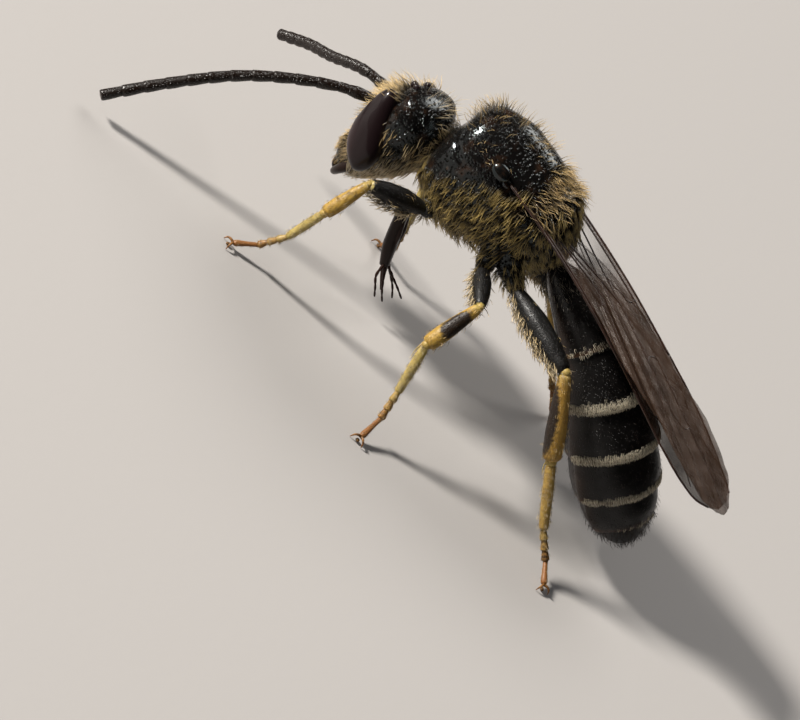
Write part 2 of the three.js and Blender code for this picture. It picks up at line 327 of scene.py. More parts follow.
def piece_from(name, form, material, nodes=(), side=1):
    """A piece from a form. Side -1 is for a mirror image, whose faces are turned back out."""
    points, faces, marks = form.arrays()
    faces = [face[::side] for face in faces]
    shown = {mark: values for mark, values in marks.items() if mark not in COMBING_MARKS}
    finish_piece(name, new_mesh(name, points, faces, shown), material, nodes)


def evaluated_mesh(carrier):
    """The plain mesh that a carrier's modifiers give; the carrier is then removed."""
    shown = carrier.evaluated_get(bpy.context.evaluated_depsgraph_get())
    mesh = bpy.data.meshes.new_from_object(shown)
    spent = carrier.data
    bpy.data.objects.remove(carrier)
    bpy.data.meshes.remove(spent)
    return mesh


def mesh_arrays(mesh):
    """A mesh's points, normals and faces."""
    points = np.empty(len(mesh.vertices) * 3)
    normals = np.empty(len(mesh.vertices) * 3)
    mesh.vertices.foreach_get("co", points)
    mesh.vertices.foreach_get("normal", normals)
    return points.reshape(-1, 3), normals.reshape(-1, 3), [tuple(f.vertices) for f in mesh.polygons]


def melted(form, grain, rounds):
    """One seamless skin round all of a form's shapes: its points, normals and faces."""
    points, faces, _ = form.arrays()
    carrier = add_object("melting", new_mesh("melting", points, faces, {}, own_frame=True))
    remesh = carrier.modifiers.new("One skin", "REMESH")
    remesh.mode = "VOXEL"
    remesh.voxel_size = grain
    smooth = carrier.modifiers.new("Soften", "SMOOTH")
    smooth.factor = 0.5
    smooth.iterations = rounds
    mesh = evaluated_mesh(carrier)
    arrays = mesh_arrays(mesh)
    bpy.data.meshes.remove(mesh)
    return arrays


def own_surface(name):
    """The points, normals and faces of a finished piece, in the bee's own millimetres."""
    points, normals, faces = mesh_arrays(bpy.data.objects[name].data)
    return points / MM - ANCHOR, normals, faces


def read_mark(mesh, mark, field="value", width=1):
    """A mark of every point of a mesh, as rows of numbers."""
    values = np.empty(len(mesh.vertices) * width)
    mesh.attributes[mark].data.foreach_get(field, values)
    return values.reshape(-1, width)


# ---- Choices a user would change ----


def size(name, millimetres, text):
    return FloatProperty(
        name=name, description=text, default=millimetres * MM, min=0, unit="LENGTH", precision=6
    )


def share(name, value, text):
    return FloatProperty(name=name, description=text, default=value, min=0, max=1, subtype="FACTOR")


def colour(name, red, green, blue, text):
    return FloatVectorProperty(
        name=name, description=text, default=(red, green, blue), min=0, max=1, subtype="COLOR"
    )


class BeeShell(bpy.types.PropertyGroup):
    """Sizes and colours of the shell, eyes and legs."""

    grain: size("Skin grain", 0.03, "Spacing of the skin's own mesh")
    tergite_step: size("Tergite step", 0.06, "Drop from each tergite's edge to the next one")
    pit_spacing: size("Pit spacing", 0.07, "Distance between pits on the head and thorax")
    pit_depth: size("Pit depth", 0.05, "Depth of the pits")
    facet_spacing: size("Facet spacing", 0.024, "Distance between the facets of the eyes")
    black: colour("Black", 0.0035, 0.003, 0.0028, "Head, thorax, abdomen and thighs")
    edge: colour("Edge", 0.055, 0.026, 0.013, "Thin edges of the tergites, and the belly's sides")
    # Eye: colour of the painted brown sheen low on each eye; the rest of the eye takes 0.12 of it.
    eye: colour("Eye", 0.07, 0.033, 0.038, "Compound eyes")
    amber: colour("Amber", 0.36, 0.22, 0.04, "Pale parts of the legs")
    lemon: colour("Lemon", 0.4, 0.32, 0.11, "Palest parts of the knees and feet")
    umber: colour("Umber", 0.014, 0.0075, 0.0035, "Patches on the shins and ends of the feet")
    rust: colour("Rust", 0.21, 0.08, 0.024, "Claw joints and claws")
    maroon: colour("Maroon", 0.009, 0.0038, 0.0026, "Jaws and tongue")


class BeeFeelers(bpy.types.PropertyGroup):
    """Sizes and colours of the feelers."""

    joints: IntProperty(name="Joints", description="Joints in each flagellum", default=11, min=3)
    half: size("Half thickness", 0.118, "Half thickness of a flagellum")
    dark: colour("Dark", 0.009, 0.005, 0.0035, "Upper side of the joints")
    worn: colour("Worn", 0.05, 0.024, 0.015, "Underside and ends of the joints")


class BeeWings(bpy.types.PropertyGroup):
    """Sizes and colours of the wings."""

    membrane: size("Membrane", 0.012, "Thickness of the membrane")
    vein: size("Vein", 0.028, "Half thickness of the thickest veins")
    wrinkle: size("Wrinkle", 0.016, "Height of the membrane's creases")
    clearness: share("Clearness", 0.34, "How much of what lies behind one membrane shows")
    smoke: colour("Smoke", 0.075, 0.04, 0.024, "Membrane")
    veins: colour("Veins", 0.02, 0.009, 0.006, "Veins")


class BeeCoat(bpy.types.PropertyGroup):
    """Lengths, numbers and colours of the hairs."""

    seed: IntProperty(name="Seed", description="Another number lays the tufts afresh", default=7)
    depth: share("Fullness", 1.0, "Share of the full number of tufts")
    hair: size("Hair thickness", 0.0072, "Half thickness of a hair at its root")
    gold: colour("Gold", 0.58, 0.38, 0.125, "Hairs of the face, back and scutellum")
    # Olive darkens the hair roots: partly the hairs' own colour and partly painted shade deep in the coat.
    honey: colour("Honey", 0.37, 0.265, 0.085, "Hairs of the sides")
    olive: colour("Olive", 0.16, 0.11, 0.04, "Roots of the hairs")
    cream: colour("Cream", 0.74, 0.65, 0.48, "Hair bands and fringes")
    sable: colour("Sable", 0.02, 0.013, 0.009, "Bristles of the abdomen's tip and feet")


class BeeStage(bpy.types.PropertyGroup):
    """The floor, the camera and the lights."""

    floor: colour("Floor", 0.42, 0.4, 0.385, "Floor")
    key: FloatProperty(name="Key", description="Strength of the main light", default=1.0, min=0)
    fill: FloatProperty(name="Fill", description="Strength of the filling light", default=1.0, min=0)
    rim: FloatProperty(name="Rim", description="Strength of the light from behind", default=1.0, min=0)


# ---- Materials ----


class Finish:
    """Builds one material from noise, cells and marks. Patterns are laid out in millimetres."""

    def __init__(self, name, **constants):
        self.material = bpy.data.materials.new(name)
        self.material.use_nodes = True
        self.tree = self.material.node_tree
        self.shader = self.tree.nodes["Principled BSDF"]
        self.set(**constants)
        coordinates = self.add("ShaderNodeTexCoord")
        scaled = self.add("ShaderNodeVectorMath", operation="SCALE")
        self.feed(scaled.inputs[0], coordinates.outputs["Object"])
        scaled.inputs["Scale"].default_value = 1 / MM
        self.place = scaled.outputs[0]

    def add(self, kind, **settings):
        node = self.tree.nodes.new(kind)
        for name, value in settings.items():
            setattr(node, name, value)
        return node

    def feed(self, socket, value):
        if isinstance(value, bpy.types.NodeSocket):
            self.tree.links.new(value, socket)
        elif value is not None:
            plain = isinstance(value, (int, float))
            socket.default_value = value if plain or len(value) == len(socket.default_value) else (*value, 1)

    def mark(self, name):
        """One of the piece's own marks."""
        return self.add("ShaderNodeAttribute", attribute_name=name).outputs["Fac"]

    def noise(self, per_mm, detail=3.0, stretch=(1, 1, 1)):
        """Soft clouds, so many to the millimetre."""
        turned = self.add("ShaderNodeMapping")
        self.feed(turned.inputs["Vector"], self.place)
        turned.inputs["Scale"].default_value = stretch
        node = self.add("ShaderNodeTexNoise")
        self.feed(node.inputs["Vector"], turned.outputs[0])
        node.inputs["Scale"].default_value = per_mm
        node.inputs["Detail"].default_value = detail
        return node.outputs["Fac"]

    def cells(self, per_mm, randomness=1.0):
        """Distance from the middles of scattered cells, so many to the millimetre."""
        node = self.add("ShaderNodeTexVoronoi")
        self.feed(node.inputs["Vector"], self.place)
        node.inputs["Scale"].default_value = per_mm
        node.inputs["Randomness"].default_value = randomness
        return node.outputs["Distance"]

    def remap(self, value, low, high, to_low=0.0, to_high=1.0):
        """A value from `low` to `high` spread smoothly over another span."""
        node = self.add("ShaderNodeMapRange", interpolation_type="SMOOTHSTEP")
        for socket, number in zip(node.inputs, (value, low, high, to_low, to_high)):
            self.feed(socket, number)
        return node.outputs[0]

    def sum(self, first, second, operation="ADD"):
        node = self.add("ShaderNodeMath", operation=operation)
        self.feed(node.inputs[0], first)
        self.feed(node.inputs[1], second)
        return node.outputs[0]

    def times(self, first, second):
        return self.sum(first, second, "MULTIPLY")

    def blend(self, amount, first, second):
        """From the first colour toward the second."""
        node = self.add("ShaderNodeMix", data_type="RGBA")
        self.feed(node.inputs[0], amount)
        self.feed(node.inputs[6], first)
        self.feed(node.inputs[7], second)
        return node.outputs[2]

    def bump(self, height, depth):
        """Relief of so many millimetres, laid over any that is there."""
        node = self.add("ShaderNodeBump")
        node.inputs["Strength"].default_value = 1.0
        node.inputs["Distance"].default_value = depth * MM
        self.feed(node.inputs["Height"], height)
        before = self.shader.inputs["Normal"]
        if before.is_linked:
            self.feed(node.inputs["Normal"], before.links[0].from_socket)
        self.feed(before, node.outputs[0])

    def set(self, **sockets):
        """Sets or feeds the shader's sockets, named in lower case, and gives the material."""
        for socket, value in sockets.items():
            title = socket.replace("_", " ").title().replace("Ior", "IOR")
            self.feed(self.shader.inputs[title], value)
        return self.material


def pitted_shell(shell):
    """Black shell of the head and thorax: round pits that catch the light, and a blue-green shine."""
    finish = Finish("pitted_shell", specular_ior_level=0.38, specular_tint=(0.85, 0.97, 1.0))
    finish.bump(finish.remap(finish.cells(MM / shell.pit_spacing), 0.08, 0.5), shell.pit_depth / MM)
    finish.bump(finish.noise(36), 0.004)
    brown = finish.times(finish.remap(finish.noise(3.5), 0.5, 0.75), 0.35)
    return finish.set(
        base_color=finish.blend(brown, shell.black, shell.edge),
        roughness=finish.remap(finish.noise(9), 0.35, 0.7, 0.08, 0.18),
    )


def satin_shell(shell):
    """Black, finely cross-grained shell of the abdomen, thinning to brown at its edges."""
    finish = Finish("satin_shell", specular_ior_level=0.3)
    finish.bump(finish.noise(34, 2.0, (0.35, 1, 1)), 0.006)
    finish.bump(finish.remap(finish.cells(17), 0.05, 0.3), 0.012)
    thin = finish.mark("thin")
    return finish.set(
        base_color=finish.blend(thin, shell.black, shell.edge),
        roughness=finish.sum(
            finish.remap(finish.noise(5), 0.3, 0.7, 0.3, 0.46),
            finish.times(finish.mark("gloss"), 0.14), "SUBTRACT",
        ),
    )


def polished_shell(shell):
    """Smooth black of the shields over the wings' roots."""
    finish = Finish(
        "polished_shell", coat_weight=0.3, coat_roughness=0.06, roughness=0.22, specular_ior_level=0.4,
        specular_tint=(0.6, 0.9, 1.0),
    )
    finish.bump(finish.remap(finish.cells(30), 0.05, 0.25), 0.002)
    brown = finish.remap(finish.noise(5), 0.5, 0.8)
    return finish.set(base_color=finish.blend(brown, shell.black, shell.edge))


def glazed_eye(shell):
    """Very dark, glossy eye with fine six-sided facets, and a painted brown sheen low on its front."""
    finish = Finish("eye_glaze", coat_weight=0.3, coat_roughness=0.05, roughness=0.4, specular_ior_level=0.15)
    facets = finish.remap(finish.cells(MM / shell.facet_spacing, randomness=0.25), 0.15, 0.55, 1, 0)
    finish.bump(facets, 0.0008)
    # Painted sheen: the eye's own colour shows only under the painted-sheen mark, low on its front; elsewhere
    # the eye takes 0.12 of that colour.
    cloud = finish.remap(finish.noise(1.6, 2), 0.3, 0.7, 0.7, 1)
    painted_sheen_share = finish.times(finish.mark("haze"), cloud)
    return finish.set(base_color=finish.blend(painted_sheen_share, toned(shell.eye, 0.12), shell.eye))


def leg_shell(shell):
    """Legs: black thighs, amber shins with umber patches, and paler knees and feet."""
    finish = Finish("leg_shell", specular_ior_level=0.35, subsurface_weight=0.2)
    finish.shader.inputs["Subsurface Radius"].default_value = (0.6, 0.35, 0.15)
    finish.shader.inputs["Subsurface Scale"].default_value = 0.1 * MM
    mottle = finish.remap(finish.noise(14, 4), 0.35, 0.68)
    pale = finish.blend(finish.mark("pale"), shell.amber, shell.lemon)
    pale = finish.blend(finish.times(mottle, 0.24), pale, shell.umber)
    pale = finish.blend(finish.mark("rust"), pale, shell.rust)
    edged = finish.sum(finish.mark("patch"), finish.times(finish.sum(mottle, -0.5), 0.3))
    patched = finish.blend(finish.remap(edged, 0.1, 0.8), pale, shell.umber)
    dark = finish.sum(finish.mark("dark"), finish.times(finish.sum(mottle, -0.5), 0.3))
    finish.bump(finish.remap(finish.cells(26), 0.05, 0.4), 0.009)
    finish.bump(finish.noise(40, 2, (1, 1, 0.4)), 0.006)
    return finish.set(
        base_color=finish.blend(finish.remap(dark, 0.35, 0.7), patched, shell.black),
        roughness=finish.remap(finish.noise(9), 0.3, 0.7, 0.36, 0.55),
    )


def feeler_shell(feelers):
    """Dark, downy joints, worn browner beneath and where they meet."""
    finish = Finish("feeler_shell", specular_ior_level=0.45)
    finish.bump(finish.remap(finish.cells(22), 0.05, 0.5), 0.014)
    finish.bump(finish.noise(28), 0.006)
    worn = finish.sum(finish.mark("worn"), finish.times(finish.sum(finish.noise(20), -0.5), 0.5))
    return finish.set(
        base_color=finish.blend(finish.remap(worn, 0.2, 0.9), feelers.dark, feelers.worn),
        roughness=finish.remap(finish.noise(12), 0.3, 0.7, 0.22, 0.45),
    )


def mouth_shell(shell):
    """Glossy maroon of the jaws and tongue, redder where it is thin."""
    finish = Finish("mouth_shell", specular_ior_level=0.2)
    finish.bump(finish.noise(30, 3, (1, 1, 0.3)), 0.004)
    red = toned(shell.maroon, 2.5)
    thin = finish.sum(finish.mark("thin"), finish.times(finish.noise(6), 0.3))
    return finish.set(base_color=finish.blend(thin, shell.maroon, red), roughness=0.32)


def wing_membrane(wings):
    """Smoky, see-through membrane with short hairs, clearer at its root and along its rim."""
    finish = Finish("wing_membrane", roughness=0.3, specular_ior_level=0.35, specular_tint=(1.0, 0.86, 0.74))
    finish.material.use_backface_culling = False
    specks = finish.remap(finish.cells(22), 0.08, 0.2, 1, 0)
    cloud = finish.remap(finish.noise(1.4, 3), 0.3, 0.75)
    finish.bump(finish.noise(9, 3, (1, 0.4, 1)), 0.012)
    finish.bump(specks, 0.004)
    deep = toned(wings.smoke, 0.5)
    solid = 1 - wings.clearness
    smoky = finish.sum(finish.remap(cloud, 0, 1, solid - 0.1, solid + 0.05), finish.times(specks, 0.2))
    clear = finish.sum(1.0, finish.times(finish.mark("clear"), 0.8), "SUBTRACT")
    return finish.set(base_color=finish.blend(cloud, wings.smoke, deep), alpha=finish.times(smoky, clear))


def wing_vein(wings):
    """Brown-black veins."""
    finish = Finish("wing_vein", coat_weight=0.3, coat_roughness=0.2)
    lighter = toned(wings.veins, 2.6)
    finish.bump(finish.noise(30), 0.003)
    tone = finish.remap(finish.noise(4), 0.35, 0.7)
    return finish.set(base_color=finish.blend(tone, wings.veins, lighter), roughness=0.35)


def bee_hair(name, coat, root, tip, contrast=0.8):
    """Hair darker at its root, partly its own colour and partly painted shade deep in the coat, and varying
    from tuft to tuft and hair to hair.
    """
    finish = Finish(name, roughness=0.38, specular_ior_level=0.5)
    vary = finish.sum(finish.times(finish.mark("tint"), 0.5), finish.times(finish.mark("strand"), 0.5))
    ends = finish.blend(finish.remap(vary, 0.15, 0.85), toned(tip, 1 - contrast), toned(tip, 1.3))
    creamy = finish.blend(finish.mark("pale"), ends, coat.cream)
    # Partly painted shade: each hair darkens from 0.7 of its length down to its root colour.
    raised = finish.remap(finish.mark("along"), 0.05, 0.7)
    return finish.set(base_color=finish.blend(raised, root, creamy))


# ---- Geometry Nodes: one shape repeated over a surface or along a path ----


class Nodes:
    """A Geometry Nodes tree with named inputs."""

    def __init__(self, name, **inputs):
        self.tree = bpy.data.node_groups.new(name, "GeometryNodeTree")
        self.names = {}
        for label, kind in (("Geometry", "Geometry"), *inputs.items()):
            title = label.replace("_", " ").capitalize()
            made = self.tree.interface.new_socket(title, in_out="INPUT", socket_type=f"NodeSocket{kind}")
            self.names[label] = made.identifier
        self.tree.interface.new_socket("Geometry", in_out="OUTPUT", socket_type="NodeSocketGeometry")
        self.given = self.tree.nodes.new("NodeGroupInput").outputs
        self.result = self.tree.nodes.new("NodeGroupOutput").inputs[0]

    def add(self, kind, *feeds, **settings):
        node = self.tree.nodes.new(kind)
        for name, value in settings.items():
            setattr(node, name, value)
        for socket, value in feeds:
            socket = node.inputs[socket]
            if isinstance(value, bpy.types.NodeSocket):
                self.tree.links.new(value, socket)
            else:
                socket.default_value = value
        return node

    def named(self, name, kind="FLOAT"):
        node = self.add("GeometryNodeInputNamedAttribute", ("Name", name), data_type=kind)
        return next(socket for socket in node.outputs if socket.enabled)

    def vector(self, operation, first, second):
        return self.add("ShaderNodeVectorMath", (0, first), (1, second), operation=operation).outputs[0]

    def scaled(self, vector, factor):
        node = self.add("ShaderNodeVectorMath", (0, vector), ("Scale", factor), operation="SCALE")
        return node.outputs[0]

    def maths(self, operation, first, second):
        return self.add("ShaderNodeMath", (0, first), (1, second), operation=operation).outputs[0]

    def chance(self, low, high, seed):
        """A random number, or a vector where `low` is one."""
        if isinstance(low, tuple):
            pair = ((0, low), (1, high))
            node = self.add("FunctionNodeRandomValue", *pair, ("Seed", seed), data_type="FLOAT_VECTOR")
            return node.outputs[0]
        node = self.add("FunctionNodeRandomValue", (2, low), (3, high), ("Seed", seed), data_type="FLOAT")
        return node.outputs[1]

    def kept(self, geometry, name, kind, value):
        """The copies with a value stored on each by name."""
        node = self.add(
            "GeometryNodeStoreNamedAttribute", ("Geometry", geometry), ("Name", name),
            data_type=kind, domain="INSTANCE",
        )
        socket = next(s for s in node.inputs if s.name == "Value" and s.enabled)
        self.tree.links.new(value, socket)
        return node.outputs[0]

    def repeated(self, places, pattern, heading, lean, stretch, keep):
        """Copies of a pattern, its length along `heading` and its bend toward `lean`."""
        shape = self.add("GeometryNodeObjectInfo", ("Object", pattern)).outputs["Geometry"]
        aimed = self.add("FunctionNodeAlignRotationToVector", ("Vector", heading), axis="Z")
        turned = self.add(
            "FunctionNodeAlignRotationToVector", ("Rotation", aimed.outputs[0]), ("Vector", lean),
            axis="X", pivot_axis="Z",
        )
        copies = self.add(
            "GeometryNodeInstanceOnPoints", ("Points", places), ("Instance", shape),
            ("Rotation", turned.outputs[0]), ("Scale", stretch),
        ).outputs[0]
        for name, (kind, value) in keep.items():
            copies = self.kept(copies, name, kind, value)
        real = self.add("GeometryNodeRealizeInstances", ("Geometry", copies)).outputs[0]
        painted = self.add(
            "GeometryNodeSetMaterial", ("Geometry", real), ("Material", self.given["Material"]),
        )
        self.tree.links.new(painted.outputs[0], self.result)

    def run(self, points, faces, marks, **values):
        """The plain mesh, in the bee's own millimetres, that the tree makes of a surface."""
        carrier = add_object("carrier", new_mesh("carrier", points, faces, marks, own_frame=True))
        modifier = carrier.modifiers.new(self.tree.name, "NODES")
        modifier.node_group = self.tree
        for label, value in values.items():
            modifier[self.names[label]] = value
        return evaluated_mesh(carrier)


def in_solids_frame(mesh):
    """Moves a mesh from the bee's own millimetres to metres in the solids' frame."""
    mesh.transform(Matrix.Scale(MM, 4) @ Matrix.Translation(Vector(ANCHOR)))
    mesh.shade_smooth()
    return mesh


def joint_row_nodes():
    """One pattern set at each point, aimed, stretched and turned by the point's own marks."""
    nodes = Nodes("bee_joint_row", pattern="Object", material="Material")
    nodes.repeated(
        nodes.given["Geometry"], nodes.given["Pattern"], nodes.named("heading", "FLOAT_VECTOR"),
        nodes.named("lean", "FLOAT_VECTOR"), nodes.named("stretch", "FLOAT_VECTOR"), {},
    )
    return nodes


def coat_nodes():
    """Tufts over a surface: as dense, long, raised and combed as its marks say."""
    nodes = Nodes(
        "bee_coat", pattern="Object", material="Material", density="Float", evenness="Float",
        disorder="Float", seed="Int",
    )
    given = nodes.given
    seed = given["Seed"]
    thick = nodes.maths("MULTIPLY", given["Density"], nodes.named("cover"))
    spread = nodes.add(
        "GeometryNodeDistributePointsOnFaces", ("Mesh", given["Geometry"]), ("Density", thick),
        ("Seed", seed), distribute_method="RANDOM",
    )
    lie = nodes.named("lie", "FLOAT_VECTOR")
    stand = nodes.named("stand")
    flat = nodes.scaled(lie, nodes.maths("SUBTRACT", 1.0, stand))
    raised = nodes.scaled(nodes.named("outward", "FLOAT_VECTOR"), stand)
    astray = nodes.scaled(nodes.chance((-1, -1, -1), (1, 1, 1), seed), given["Disorder"])
    heading = nodes.vector("ADD", nodes.vector("ADD", flat, raised), astray)
    lean = nodes.vector("ADD", lie, nodes.scaled(astray, 0.8))
    varied = nodes.chance(0.0, 1.0, nodes.maths("ADD", seed, 1))
    varied = nodes.maths("MULTIPLY", nodes.named("reach"), varied)
    shortest = nodes.maths("MULTIPLY", nodes.named("reach"), given["Evenness"])
    rest = nodes.maths("SUBTRACT", 1.0, given["Evenness"])
    length = nodes.maths("ADD", shortest, nodes.maths("MULTIPLY", varied, rest))
    nodes.repeated(
        spread.outputs["Points"], given["Pattern"], heading, lean, length,
        {
            "root": ("FLOAT_VECTOR", nodes.add("GeometryNodeInputPosition").outputs[0]),
            "tint": ("FLOAT", nodes.chance(0.0, 1.0, nodes.maths("ADD", seed, 2))),
            "pale": ("FLOAT", nodes.named("whiteness")),
        },
    )
    return nodes


class Style(NamedTuple):
    """How the hairs of one tuft lie. Lengths are shares of the tuft's own length."""

    bold: int  # long, light hairs
    fine: int  # shorter, thinner and darker hairs between them
    width: float  # of a bold hair, in hair thicknesses
    bend: float  # of the tips toward the lie of the coat
    splay: float  # of one hair from another
    spread: float  # of the roots
    gather: float  # how far the tips draw together


def tuft_pattern(style, thickness, seed):
    """A tuft one unit long: thin three-sided hairs that rise along Z and bend toward X."""
    chance = np.random.default_rng(seed)
    points, faces, rise, strands = [], [], [], []
    for number in range(style.bold + style.fine):
        bold = number < style.bold
        first = len(points)
        root = np.append(chance.uniform(-style.spread, style.spread, 2), -0.04)
        lean = np.append(chance.normal(0, style.splay, 2) - style.gather * root[:2], 1)
        curl = style.bend * np.array([chance.uniform(0.5, 1.5), chance.normal(0, 0.4), 0])
        wave = np.append(chance.normal(0, 0.035, 2), 0)
        long = chance.uniform(0.72, 1.05) if bold else chance.uniform(0.4, 0.75)
        half = thickness * (1 if bold else 0.55)
        rings = ((0, 1), (0.3, 0.94), (0.58, 0.78), (0.82, 0.5)) if bold else ((0, 1), (0.5, 0.7))
        facing = chance.uniform(0, 2 * math.pi)
        for step, slim in rings:
            middle = root + long * (lean * step + curl * step * step + wave * math.sin(5 * step))
            for turn in facing + np.arange(3) * 2 * math.pi / 3:
                points.append(middle + half * slim * np.array([math.cos(turn), math.sin(turn), 0]))
                rise.append(step)
        points.append(root + long * (lean + curl))
        rise.append(1)
        faces.append((first + 2, first + 1, first))
        last = first + 3 * len(rings) - 3
        for side in range(3):
            after = (side + 1) % 3
            faces += [(r + side, r + after, r + after + 3, r + side + 3) for r in range(first, last, 3)]
            faces.append((last + side, last + after, last + 3))
        strands += [chance.uniform(0.45, 1) if bold else chance.uniform(0, 0.3)] * (len(points) - first)
    marks = {"along": rise, "strand": strands}
    mesh = new_mesh("tuft_pattern", np.array(points), faces, marks, own_frame=True)
    return add_object("tuft_pattern", mesh)


def area_of(points, faces, weights):
    """The area of a surface in square millimetres, each face counted by its mean weight."""
    total = 0.0
    for sides in sorted({len(face) for face in faces}):
        corner = np.array([face for face in faces if len(face) == sides])
        first = points[corner[:, 0]]
        mean = weights[corner].mean(axis=1)
        for k in range(1, sides - 1):
            cross = np.cross(points[corner[:, k]] - first, points[corner[:, k + 1]] - first)
            total += (np.linalg.norm(cross, axis=1) / 2 * mean).sum()
    return total


# ---- The skin: head, neck, thorax and the first lengths of the legs in one ----

# Back, height, half width and half height of the thorax below its coat.
THORAX_STATIONS = np.array([
    (-1.5, 3.84, 0.5, 0.4), (-1.38, 3.84, 0.78, 0.7), (-1.2, 3.86, 0.98, 0.95), (-1.0, 3.92, 1.08, 1.14),
    (-0.75, 4.0, 1.13, 1.3), (-0.3, 4.07, 1.17, 1.37), (0.4, 4.13, 1.15, 1.25), (0.9, 4.14, 1.03, 1.07),
    (1.3, 4.02, 0.87, 0.8), (1.62, 3.86, 0.63, 0.54), (1.82, 3.76, 0.36, 0.3),
])
# Up, forward, half width and half depth of the head below its coat, as seen on the head.
HEAD_STATIONS = np.array([
    (1.15, -0.12, 0.5, 0.3), (0.95, -0.11, 0.78, 0.5), (0.6, -0.07, 0.95, 0.66), (0.15, -0.02, 1.0, 0.7),
    (-0.3, 0.1, 0.95, 0.61), (-0.7, 0.3, 0.78, 0.45), (-1.0, 0.48, 0.56, 0.32), (-1.25, 0.6, 0.34, 0.2),
])
SURFACES = {}  # finished surfaces, by name, that the coat is combed over
THORAX_MESH = (84, 160)  # rows along it and sides round it
HEAD_MESH = (64, 120)
ABDOMEN_SIDES = 120
JOINT_ROWS = 22  # along one joint of a feeler
JOINT_OVERLAP = 1.08  # length of a joint, which reaches a little into the next one
WING_MESH = (150, 44)  # rows along a wing and columns across it


def station_path(stations, count):
    """Rows between stations, smoothly, that crowd toward the ends."""
    shares = rounded(count)
    own = (stations[:, 0] - stations[0, 0]) / (stations[-1, 0] - stations[0, 0])
    columns = [smooth_line(list(zip(own, column)), shares, 0.045) for column in stations.T]
    columns[0] = stations[0, 0] + shares * (stations[-1, 0] - stations[0, 0])
    rows = np.column_stack(columns)
    rows[:, 2:] *= round_ends(shares, 0.05)[:, None]
    return rows


def thorax_relief(at, turn):
    """Grooves between the back's plates, the raised scutellum, and the seams of the sides."""
    back = THORAX_STATIONS[0, 0] + at * (THORAX_STATIONS[-1, 0] - THORAX_STATIONS[0, 0])
    off_top = apart(turn, 90)
    top = 1 - ramp(off_top, 38, 62)
    collar = -1.13 + 0.55 * (off_top / 70) ** 2
    groove = 0.05 * hump(back, collar, 0.06) * (1 - ramp(off_top, 60, 85))
    groove += 0.06 * hump(back, 0.6 - 0.1 * (off_top / 50) ** 2, 0.055) * top
    groove += 0.055 * hump(back, 1.02, 0.05) * top
    groove += 0.012 * hump(off_top, 0, 2.2) * (1 - ramp(back, -0.7, -0.4)) * ramp(back, -1.1, -0.95)
    groove += 0.012 * hump(off_top, 26, 2.0) * ramp(back, -0.5, -0.3) * (1 - ramp(back, 0.3, 0.5))
    groove += 0.05 * hump(back, 1.0 - 0.35 * (off_top - 90) / 90, 0.07) * ramp(off_top, 55, 80)
    groove += 0.035 * hump(back, -0.78, 0.06) * ramp(off_top, 70, 90) * (1 - ramp(off_top, 125, 150))
    raised = 0.035 * hump(back, 0.8, 0.14) * (1 - ramp(off_top, 22, 44))
    raised += 0.02 * hump(back, -0.2, 0.5) * (1 - ramp(off_top, 20, 60))
    return 1 - groove + raised


def head_relief(at, turn):
    """Hollows for the feelers' sockets, and the seam over the clypeus."""
    up = HEAD_STATIONS[0, 0] + at * (HEAD_STATIONS[-1, 0] - HEAD_STATIONS[0, 0])
    off_front = apart(turn, 90)
    socket = 0.12 * hump(up, 0.3, 0.14) * hump(off_front, 17, 8)
    seam = 0.04 * hump(up, -0.42 - 0.25 * (off_front / 30) ** 2, 0.05) * (1 - ramp(off_front, 28, 40))
    ridge = 0.05 * hump(up, -0.05, 0.3) * hump(off_front, 0, 9)
    return 1 - socket - seam + ridge


class BEE_OT_skin(bpy.types.Operator):
    """Make the seamless skin of the head, neck, thorax and hips"""

    bl_idname = "bee.skin"
    bl_label = "Skin"

    def execute(self, context):
        shell = context.scene.bee_shell
        form = Form()
        rows = station_path(THORAX_STATIONS, THORAX_MESH[0])
        path = np.column_stack([np.zeros(len(rows)), rows[:, 0], rows[:, 1]])
        form.tube(path, rows[:, 2:], THORAX_MESH[1], relief=thorax_relief)
        rows = station_path(HEAD_STATIONS, HEAD_MESH[0])
        path = np.array([head_place(0, forward, up) for up, forward, _, _ in rows])
        form.tube(path, rows[:, 2:], HEAD_MESH[1], up=head_axes()[1], relief=head_relief)
        neck = along([(0, -1.1, 3.8), head_place(0, -0.3, 0.25)], rounded(12))
        form.tube(neck, smooth_line([(0, 0.42), (0.5, 0.3), (1, 0.36)], rounded(12)), 32)
        for pair in LEG_PAIRS:
            for word in SIDES:
                hip, knuckle = leg_joints(pair, word)[:2]
                inside = hip + (0, 0, 0.25)
                girth = smooth_line([(0, 0.3), (0.6, 0.27), (1, 0.15)], rounded(14))
                form.tube(along([inside, hip, knuckle], rounded(14)), girth, 28, up=(0, 1, 0))
        points, normals, faces = melted(form, shell.grain / MM, 2)
        SURFACES["skin"] = (points, normals, faces)
        nodes = ["head", "neck", "thorax_front", "thorax_middle", "thorax_rear"]
        nodes += [f"coxa_{pair}_{word}" for pair in LEG_PAIRS for word in SIDES]
        mesh = new_mesh("bee_skin", points, faces, {})
        finish_piece("bee_skin", mesh, pitted_shell(shell), nodes)
        return {"FINISHED"}


